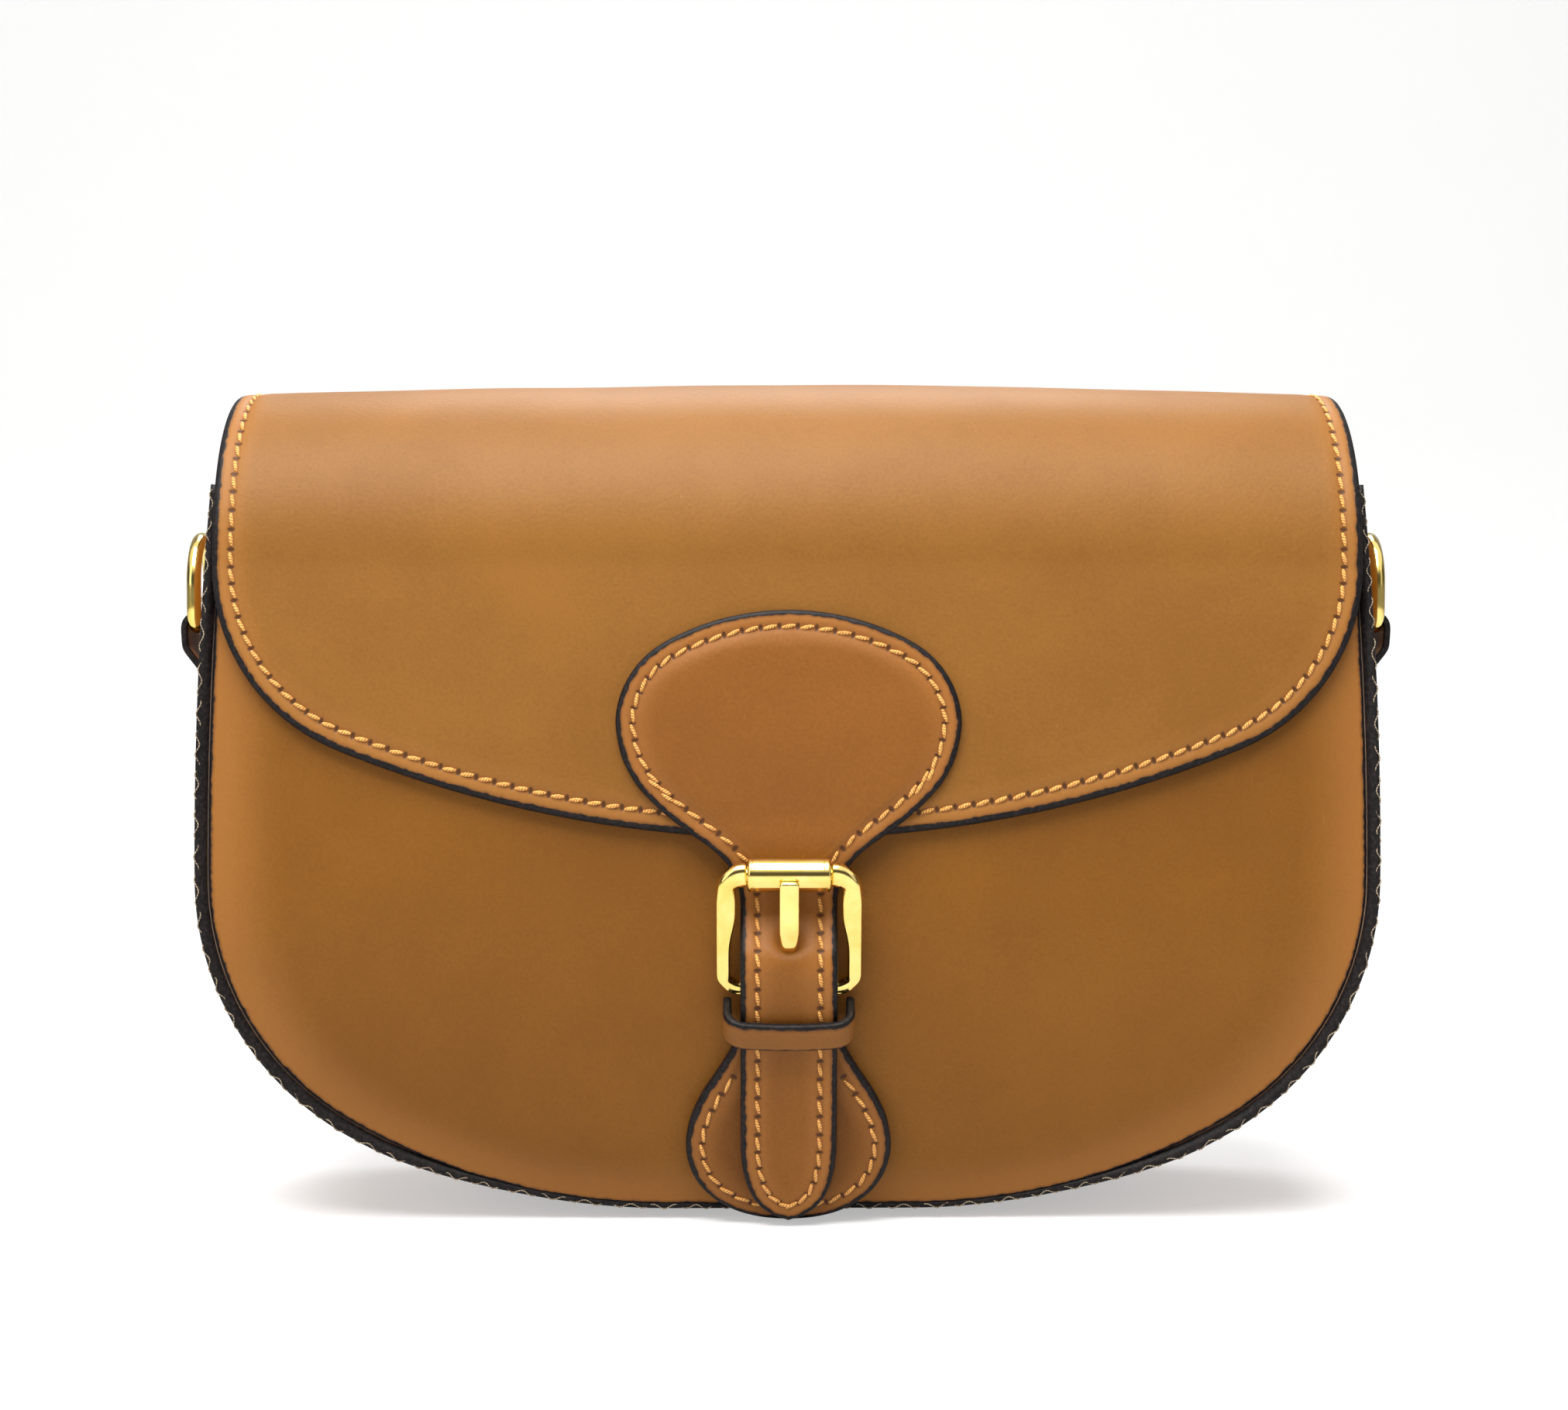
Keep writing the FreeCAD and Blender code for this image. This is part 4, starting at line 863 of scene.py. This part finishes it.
def make_pear():
    length = PEAR_OUTLINE.length
    reach = 49.0
    thread, pitch = sewing("pear_stitching", PEAR_OUTLINE, PEAR_COURSE, PEAR_STITCH, 4.4, 0.74,
                           spans=[(0, reach), (length - reach, length)], relief=pear_relief)
    # painted shade: the pear is the same tan hide set much darker, standing for its low, less lit place on the front
    tan = tan_leather("tan hide of the pear", 1.15, PEAR_STITCH, pitch,
                      dark=(98, 56, 10), light=(112, 67, 15))

    def thick(s):
        return 3.05 - 1.75 * smooth_step(s, PEAR_FOLD - 4, PEAR_FOLD + 2)

    pear = cut_leather("pear_base", PEAR_OUTLINE, PEAR_COURSE, thick, [tan, FLESH],
                       [0.8, 1.2, 1.8, 2.5, 3.3, 4.0, 5.0, 6.5], 12, relief=pear_relief, roll=0.9,
                       spine=(0.2, 0.96))
    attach(pear, "closure")
    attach(thread, "closure")
    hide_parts("pear_outer", "pear_backing")


def make_keeper():
    """A leather band bent over the strap: rounded section carried along a U, its middle hanging lower."""
    low, high = node_box("keeper_loop")
    half, front = high[0] - 0.85, low[1] + 2.2
    bend = 3.3
    plan = eased(np.vstack([[(-half, front + 7.5)], arc((bend - half, front + bend), bend, 180, 270, 14),
                            arc((half - bend, front + bend), bend, 270, 360, 14), [(half, front + 7.5)]]), 0.25, 0.35)
    x, y = plan[:, 0], plan[:, 1]
    lean = math.radians(27)
    middle = low[2] + 3.1
    sag = 0.7 * (np.abs(x) / half) ** 2.2
    path = np.stack([x, y, middle + sag + (y - front) * math.tan(lean)], 1)
    along = heading(path)
    up = np.array([0, -math.sin(lean), math.cos(lean)]) + 0 * path
    up = unit(up - along * (up * along).sum(1)[:, None])
    out = np.cross(up, along)
    section = soft_box(5.9, 1.75, 5.0, 36)
    grid, uv = sweep(path, up, out, section)
    rim = np.minimum(np.abs(section[:, 0] - 2.95), 9)
    rim = np.concatenate([rim, rim[:1]])
    low_rim = np.abs(np.concatenate([section[:, 0], section[:1, 0]]) + 2.95)
    uv[..., 1] = np.minimum(rim * 0.75, low_rim * 1.6)[None, :]
    # painted shade: the keeper is the same tan hide set darker, standing for the shade it sits in low on the front
    tan = tan_leather("tan hide of the keeper", 0.62, dark=(90, 53, 10), light=(104, 64, 15))
    inner = np.concatenate([section[:, 1], section[:1, 1]])
    outward = (out[len(out) // 2] * np.array([0, -1, 0])).sum()
    number = (inner[:-1] * (1 if outward > 0 else -1) < -0.5).astype(int)
    keeper = finish_mesh("keeper_band", [(grid, uv, number[None, :])], [tan, EDGE])
    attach(keeper, "closure")
    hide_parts("keeper_loop")


# ---- buckle

def buckle_axes():
    along = np.array([0, -math.sin(BUCKLE_LEAN), math.cos(BUCKLE_LEAN)])
    out = np.array([0, -math.cos(BUCKLE_LEAN), -math.sin(BUCKLE_LEAN)])
    origin = np.array([0, HEEL[0], HEEL[1]])
    return origin, along, out


def make_buckle():
    """Frame: a flattened section carried from the roller's end round both corners to the heel bar.
    Roller: a turned tube.  Prong: a bevelled blade with an eye round the heel bar."""
    origin, along, out = buckle_axes()
    half, top, foot = BUCKLE_HALF, BUCKLE_LENGTH + 2.4, -1.7
    right = np.vstack([[(8.45, top)], arc((half - 5.6, top - 5.6), 5.6, 90, 0, 16),
                       arc((half - 4.8, foot + 4.8), 4.8, 0, -90, 16)])
    left = right[::-1] * np.array([-1, 1])
    rim = even(np.vstack([right, left]), 0.45)
    step = heading(rim)
    inward = np.stack([step[:, 1], -step[:, 0]], 1)
    up = rim[:, 1]
    side = 2.75 + 1.15 * smooth_step(up, 7.5, 16.5)
    width = side + (4.8 - side) * smooth_step(np.abs(inward[:, 1]), 0.2, 0.95) * (up > 10)
    width = width + (3.0 - width) * smooth_step(np.abs(inward[:, 1]), 0.2, 0.95) * (up < 8)
    depth = 3.6 - 0.5 * smooth_step(-up, -3, 1)
    angle = np.linspace(0, 2 * math.pi, 45)[None, :]
    power = 2 / (2.4 + 4.6 * smooth_step(-up, -21.0, -17.0) * smooth_step(up, 0.0, 3.0))[:, None]
    wide = np.sign(np.cos(angle)) * np.abs(np.cos(angle)) ** power / 2
    deep = np.sign(np.sin(angle)) * np.abs(np.sin(angle)) ** power / 2
    middle = rim + inward * (width / 2)[:, None]
    across = middle[:, None, 0] + inward[:, None, 0] * width[:, None] * wide
    rise = middle[:, None, 1] + inward[:, None, 1] * width[:, None] * wide
    forward = depth[:, None] * deep
    grid = (origin + across[..., None] * np.array([1, 0, 0]) + rise[..., None] * along
            + forward[..., None] * out)
    ends = [grid[k].mean(0) + 0 * grid[k] for k in (0, -1)]
    grid = np.concatenate([ends[0][None], grid, ends[1][None]])
    uv = grid[..., [0, 2]]
    bar = np.linspace(-9.4, 9.4, 12)
    turn = np.linspace(0, 2 * math.pi, 25)
    tube = (origin + BUCKLE_LENGTH * along + bar[:, None, None] * np.array([1, 0, 0])
            + 1.5 * (np.cos(turn)[None, :, None] * along + np.sin(turn)[None, :, None] * out))
    tube = np.concatenate([tube[:1].mean(1, keepdims=True) + 0 * tube[:1], tube,
                           tube[-1:].mean(1, keepdims=True) + 0 * tube[-1:]])
    frame_piece = finish_mesh("gold_frame", [(grid, uv, 0), (tube, tube[..., [0, 2]], 0)], [METAL])
    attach(frame_piece, "buckle")
    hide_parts("buckle_frame")

    length, full = 8.2, ROLLER_RADIUS
    profile = np.array([(-length, 1.6), (-length, full - 0.45), (-length + 0.12, full - 0.2), (-length + 0.45, full),
                        (-length + 0.9, full), (-length + 1.0, full - 0.12), (-length + 1.15, full - 0.12),
                        (-length + 1.25, full), (-length + 2.4, full), (0, full)])
    profile = np.vstack([profile, (profile[::-1] * np.array([-1, 1]))[1:], [(-length, 1.6)]])
    profile = even(profile, 0.3)
    turn = np.linspace(0, 2 * math.pi, 65)
    ring = (np.cos(turn)[None, :, None] * along + np.sin(turn)[None, :, None] * out)
    grid = (origin + BUCKLE_LENGTH * along + profile[:, 0, None, None] * np.array([1, 0, 0])
            + profile[:, 1, None, None] * ring)
    roller = finish_mesh("gold_roller", [(grid, grid[..., [0, 2]], 0)], [METAL])
    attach(roller, "roller")
    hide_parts("roller")

    eye = [(2.2 * math.sin(math.radians(a)), -2.2 * math.cos(math.radians(a))) for a in range(-150, 91, 15)]
    front = full + 0.06 + 1.0
    blade = np.array(eye + [(5.0, 2.6), (8.6, 3.3), (11, 4.6), (14, 5.3), (BUCKLE_LENGTH - 4.2, front + 0.1),
                            (BUCKLE_LENGTH - 2.4, front), (BUCKLE_LENGTH + 0.2, front + 0.05)])
    line = eased(blade, 0.4, 0.7)
    step = heading(line)
    path = origin + line[:, :1] * along + line[:, 1:] * out
    normal = -step[:, 1:] * along + step[:, :1] * out
    run = np.linspace(0, 1, len(path))
    near_tip = np.linalg.norm(path - path[-1], axis=1)
    grow = np.sqrt(np.clip(1 - (1 - np.clip(near_tip / 0.5, 0, 1)) ** 2, 0.55, 1))
    narrow = 1 - 0.3 * smooth_step(-line[:, 0], -14.0, -8.0)
    section = soft_box(3.95, 2.1, 3.6, 40)
    grid, uv = sweep(path, (np.array([1, 0, 0]) + 0 * path) * narrow[:, None], normal, section, grow=grow)
    prong = finish_mesh("gold_prong", [(grid, uv, 0)], [METAL])
    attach(prong, "prong")
    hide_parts("prong")


# ---- bag: gusset, panels, linings

def gusset_grid(outer_off, inner_off, high, insets):
    """Strip round the U outline.  Columns go round its section: outside face front to back, back edge,
    inside face, front edge.  Outside bulges by 2.4 sin(pi v) on the sides and not at all on the base."""
    line, outward = rim_line(high, 1.6)
    share = np.array(insets)
    front = front_at(line[:, 1])[:, None]
    back = back_at(line[:, 1])[:, None]
    width = back - front
    roll = 0.7
    turn, rest = np.radians([0, 30, 60, 90]), share[share > roll]
    near = np.concatenate([roll * (1 - np.cos(turn)), rest])
    drop = np.concatenate([roll * (1 - np.sin(turn)), 0 * rest])
    inner = np.linspace(0, 1, 16)[1:-1]
    span = near[-1]
    outside_y = np.concatenate([front + near[None, :], front + span + (width - 2 * span) * inner[None, :],
                                back - near[None, ::-1]], 1)
    outside_h = outer_off - np.concatenate([drop, 0 * inner, drop[::-1]])[None, :] + 0 * outside_y
    between = span + (width - 2 * span) * np.minimum(inner, 1 - inner)[None, :]
    outside_v = np.concatenate([near + 0 * front, between, near[::-1] + 0 * front], 1)
    inside_y = outside_y[:, ::-1][:, 4:-4]
    inside_h = inner_off + 0 * inside_y
    inside_v = outside_v[:, ::-1][:, 4:-4].copy()
    inside_v[:, [0, -1]] = 0
    y = np.concatenate([outside_y, inside_y, outside_y[:, :1]], 1)
    h = np.concatenate([outside_h, inside_h, outside_h[:, :1]], 1)
    v = np.concatenate([outside_v, inside_v, outside_v[:, :1]], 1)
    middle = np.sin(math.pi * np.clip((y - front) / width, 0, 1)) ** 1.2
    side = smooth_step(line[:, 1], 14, 60)[:, None]
    taper = 1 - 0.55 * smooth_step(line[:, 1], 120, 150)[:, None]
    rest = wander(line[:, 1][:, None] + line[:, :1] * 0.3, y, 42, 5) * 0.35 * side
    h = h + (2.2 * middle * side * taper + rest * middle)
    sag = 2.2 * (1 - middle) * (1 - smooth_step(line[:, 1], 0, 16)[:, None])
    grid = np.stack([line[:, :1] + outward[:, :1] * h, y, line[:, 1:] + outward[:, 1:] * h + sag], -1)
    number = np.zeros(y.shape[1] - 1, int)
    number[outside_y.shape[1]:-1] = 1
    uv = np.stack([distance(line)[:, None] + 0 * y, v], -1)
    caps = [(grid[end] + grid[end][::-1]) / 2 for end in (0, -1)]
    rows = [uv[end] * np.array([1, 0]) for end in (0, -1)]
    return (np.concatenate([caps[:1], grid, caps[1:]]), np.concatenate([rows[:1], uv, rows[1:]]), number)


def make_gusset():
    tan = tan_leather("tan hide of the gusset", 1.0, 3.4, 3.9, dark=(140, 90, 42), light=(158, 106, 56))
    grid, uv, number = gusset_grid(0.0, -2.6, GUSSET_TOP, [0.7, 1.2, 2.0, 2.8, 3.4, 4.0, 5.0, 7.0])
    gusset = finish_mesh("side_and_base_strip", [(grid, uv, number[None, :])], [tan, FLESH])
    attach(gusset, "bag")
    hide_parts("gusset")
    grid, uv, number = gusset_grid(-2.7, -3.4, PANEL_TOP, [0.7, 2.0, 4.0])
    grid[..., 1] = grid[..., 1] * 0.955
    lining = finish_mesh("strip_suede", [(grid, uv, 0)], [LINING])
    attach(lining, "bag")
    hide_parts("gusset_lining")


def make_rim_thread():
    """Loose lock thread on the painted rim: a fine tube that follows the U outline with a short uneven wave,
    outwards 0.45 sin(2 pi u / 4.3) and in and out of the edge paint 0.35 sin(2 pi u / 7.1)."""
    line, outward = rim_line(GUSSET_TOP - 1, 0.5)
    run = np.arange(len(line)) * 0.5
    wave = -0.45 + 0.42 * np.sin(run * 6.283 / 4.3 + 1.2 * np.sin(run / 9.0))
    depth = -0.08 + 0.20 * np.sin(run * 6.283 / 7.1 + 0.8 * np.sin(run / 13.0))
    turn = np.linspace(0, 2 * math.pi, 7)
    across = np.stack([outward[:, 0], 0 * run, outward[:, 1]], 1)
    for name, reach, back in (("front_rim_thread", front_at, -1), ("back_rim_thread", back_at, 1)):
        rise = 2.2 * (1 - smooth_step(line[:, 1], 0, 16))
        path = np.stack([line[:, 0] + outward[:, 0] * wave, reach(line[:, 1]) + back * depth,
                         line[:, 1] + outward[:, 1] * wave + rise], 1)
        round_section = 0.13 * np.stack([np.cos(turn[:-1]), np.sin(turn[:-1])], 1)
        grid, _ = sweep(path, across, np.array([0, 1, 0]) + 0 * path, round_section)
        uv = np.stack(np.broadcast_arrays(np.arange(len(grid))[:, None] * 0.5, turn[None, :] * 0.13), -1)
        piece = finish_mesh(name, [(grid, uv, 0)], [PALE_THREAD], weld=0.001)
        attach(piece, "bag")


def panel_outline(course, inset):
    half = body_half(inset, PANEL_TOP - 6)
    corner = arc((half[-1, 0] - 6, PANEL_TOP - 6), 6, 0, 90, 10)
    top = np.vstack([half, corner, [(0, PANEL_TOP)]])
    return Outline(both_sides(np.stack([top[:, 0], course.from_height(top[:, 1])], 1), 1.25))


def panel_relief(x, s, inset):
    """Pillow of the panel: it dips 1.1 mm towards the rim over the last 12 mm, with slow swells."""
    dip = 1.1 * (1 - smooth_step(inset, 0.0, 12.0))
    swell = 0.2 * wander(x, s, 70, 6) * smooth_step(inset, 2, 14)
    return -dip + swell - 0.15


def make_panels():
    """Front and back face with their suede.  The back is made facing forwards and then turned round."""
    up = np.arange(0, PANEL_TOP + 4.5, 1.0)
    # border and reach set each panel's painted highlight towards the rim
    for face, course, border, reach, dark, light in (
            # painted shade: the front's tan is set darker than the back's and the flap's, standing for the less lit
            # front
            ("front", PANEL_COURSE, 0.33, 15.0, (111, 68, 14), (124, 78, 19)),
            ("back", Course(np.stack([-back_at(up), up], 1)), 0.3, 14.0, (116, 72, 22), (131, 83, 29))):
        tan = tan_leather("tan hide of the " + face, 0.5, dark=dark, light=light, border=border, reach=reach)
        panel = cut_leather(face + "_face", panel_outline(course, 2.75), course, 2.0, [tan, FLESH],
                            [0.8, 1.4, 2.2, 3.0, 4.0, 5.2], 32, panel_relief, roll=0.5, spine=(0.3, 0.8))
        lining = cut_leather(face + "_suede", panel_outline(course, 3.7), course, 2.75, [LINING, LINING],
                             [0.5, 2, 5], 12, lambda x, s, inset: -2.1 + 0 * x, roll=0.3)
        for piece in (panel, lining):
            if face == "back":
                turn_round(piece)
            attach(piece, "bag")
        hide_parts(face + "_panel")
        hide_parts(face + "_lining")


def turn_round(piece):
    """Turns a piece half round the upright axis: (x, y) becomes (-x, -y)."""
    places = np.empty(len(piece.data.vertices) * 3, np.float32)
    piece.data.vertices.foreach_get("co", places)
    places = places.reshape(-1, 3) * np.array([-1, -1, 1], np.float32)
    piece.data.vertices.foreach_set("co", places.ravel())
    piece.data.update()


# ---- rings and tabs

def make_ring(side_name):
    """A round wire carried round a D: flat at the bar, round at the top."""
    low, high = node_box(side_name + "_ring")
    wire = (high[0] - low[0]) / 2
    middle = (low[0] + high[0]) / 2
    half, bottom, top = high[1] - wire - 0.6, RING_BAR, high[2] - wire - 0.6
    loop = np.vstack([arc((half - 4, bottom + 4), 4, -90, 0, 10),
                      arc((half - 9.4, top - 9.4), 9.4, 0, 90, 16)])
    loop = np.vstack([loop, loop[::-1] * np.array([-1, 1])])
    loop = even(loop, 0.8, closed=True)[:-1]
    step = unit(np.roll(loop, -1, 0) - np.roll(loop, 1, 0))
    path = np.stack([0 * loop[:, 0] + middle, loop[:, 0], loop[:, 1]], 1)
    inward = np.stack([0 * step[:, 0], -step[:, 1], step[:, 0]], 1)
    angle = np.linspace(0, 2 * math.pi, 20, endpoint=False)
    section = np.stack([np.cos(angle), np.sin(angle)], 1) * wire
    grid, uv = sweep(path, inward, np.array([1, 0, 0]) + 0 * path, section, closed=True)
    ring = finish_mesh(side_name + "_gold_ring", [(grid, uv, 0)], [METAL])
    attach(ring, side_name + "_ring")
    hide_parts(side_name + "_ring")


def make_tab(side_name, side):
    """A strip of hide folded round the ring's bar: a rounded section carried along the fold."""
    low, high = node_box(side_name + "_ring_tab")
    ring_low, ring_high = node_box(side_name + "_ring")
    middle = abs(ring_low[0] + ring_high[0]) / 2
    inside = HALF_WIDTH + 0.95
    line = [(inside, 93.0), (inside, 108), (middle - 2.6, 115.5)]
    line += [(middle + 2.55 * math.cos(math.radians(a)), RING_BAR + 2.55 * math.sin(math.radians(a)))
             for a in range(180, -1, -20)]
    line += [(middle + 2.3, 116.5), (inside + 1.8, 110), (inside + 1.75, 92.8)]
    path2 = eased(np.array(line), 0.6, 0.7)
    path = np.stack([path2[:, 0] * side, 0 * path2[:, 0], path2[:, 1]], 1)
    step = heading(path)
    across = np.array([0, 1, 0]) + 0 * path
    out = np.cross(step, across)
    width = high[1] - low[1]
    section = soft_box(width - 0.1, 1.55, 7.0, 44)
    grid, uv = sweep(path, across, out, section)
    ring = np.concatenate([section[:, 0], section[:1, 0]])
    uv[..., 1] = (width / 2 - np.abs(ring))[None, :]
    uv[:2, :, 1] = 0
    uv[-2:, :, 1] = 0
    tan = tan_leather("tan hide of the " + side_name + " tab", 1.0, dark=(124, 78, 34), light=(142, 94, 46))
    tab = finish_mesh(side_name + "_tab", [(grid, uv, 0)], [tan])
    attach(tab, "bag")
    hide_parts(side_name + "_ring_tab")


def finish_nodes():
    """Finishes for the snap's discs and their leather washers, which keep their own shapes."""
    dull = polished_gold("brushed snap metal", (226, 204, 142), (206, 182, 118), 0.2, 0.34)
    washer = suede("washer leather", (60, 38, 22), (96, 62, 36))
    for node, finish in (("snap_socket", dull), ("snap_stud", dull),
                         ("socket_washer", washer), ("stud_washer", washer)):
        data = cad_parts[node].data
        data.materials.clear()
        data.materials.append(finish)


make_flap()
make_tongue()
make_pear()
make_keeper()
make_buckle()
make_gusset()
make_rim_thread()
make_panels()
for side_name, side in (("left", -1), ("right", 1)):
    make_ring(side_name)
    make_tab(side_name, side)
finish_nodes()
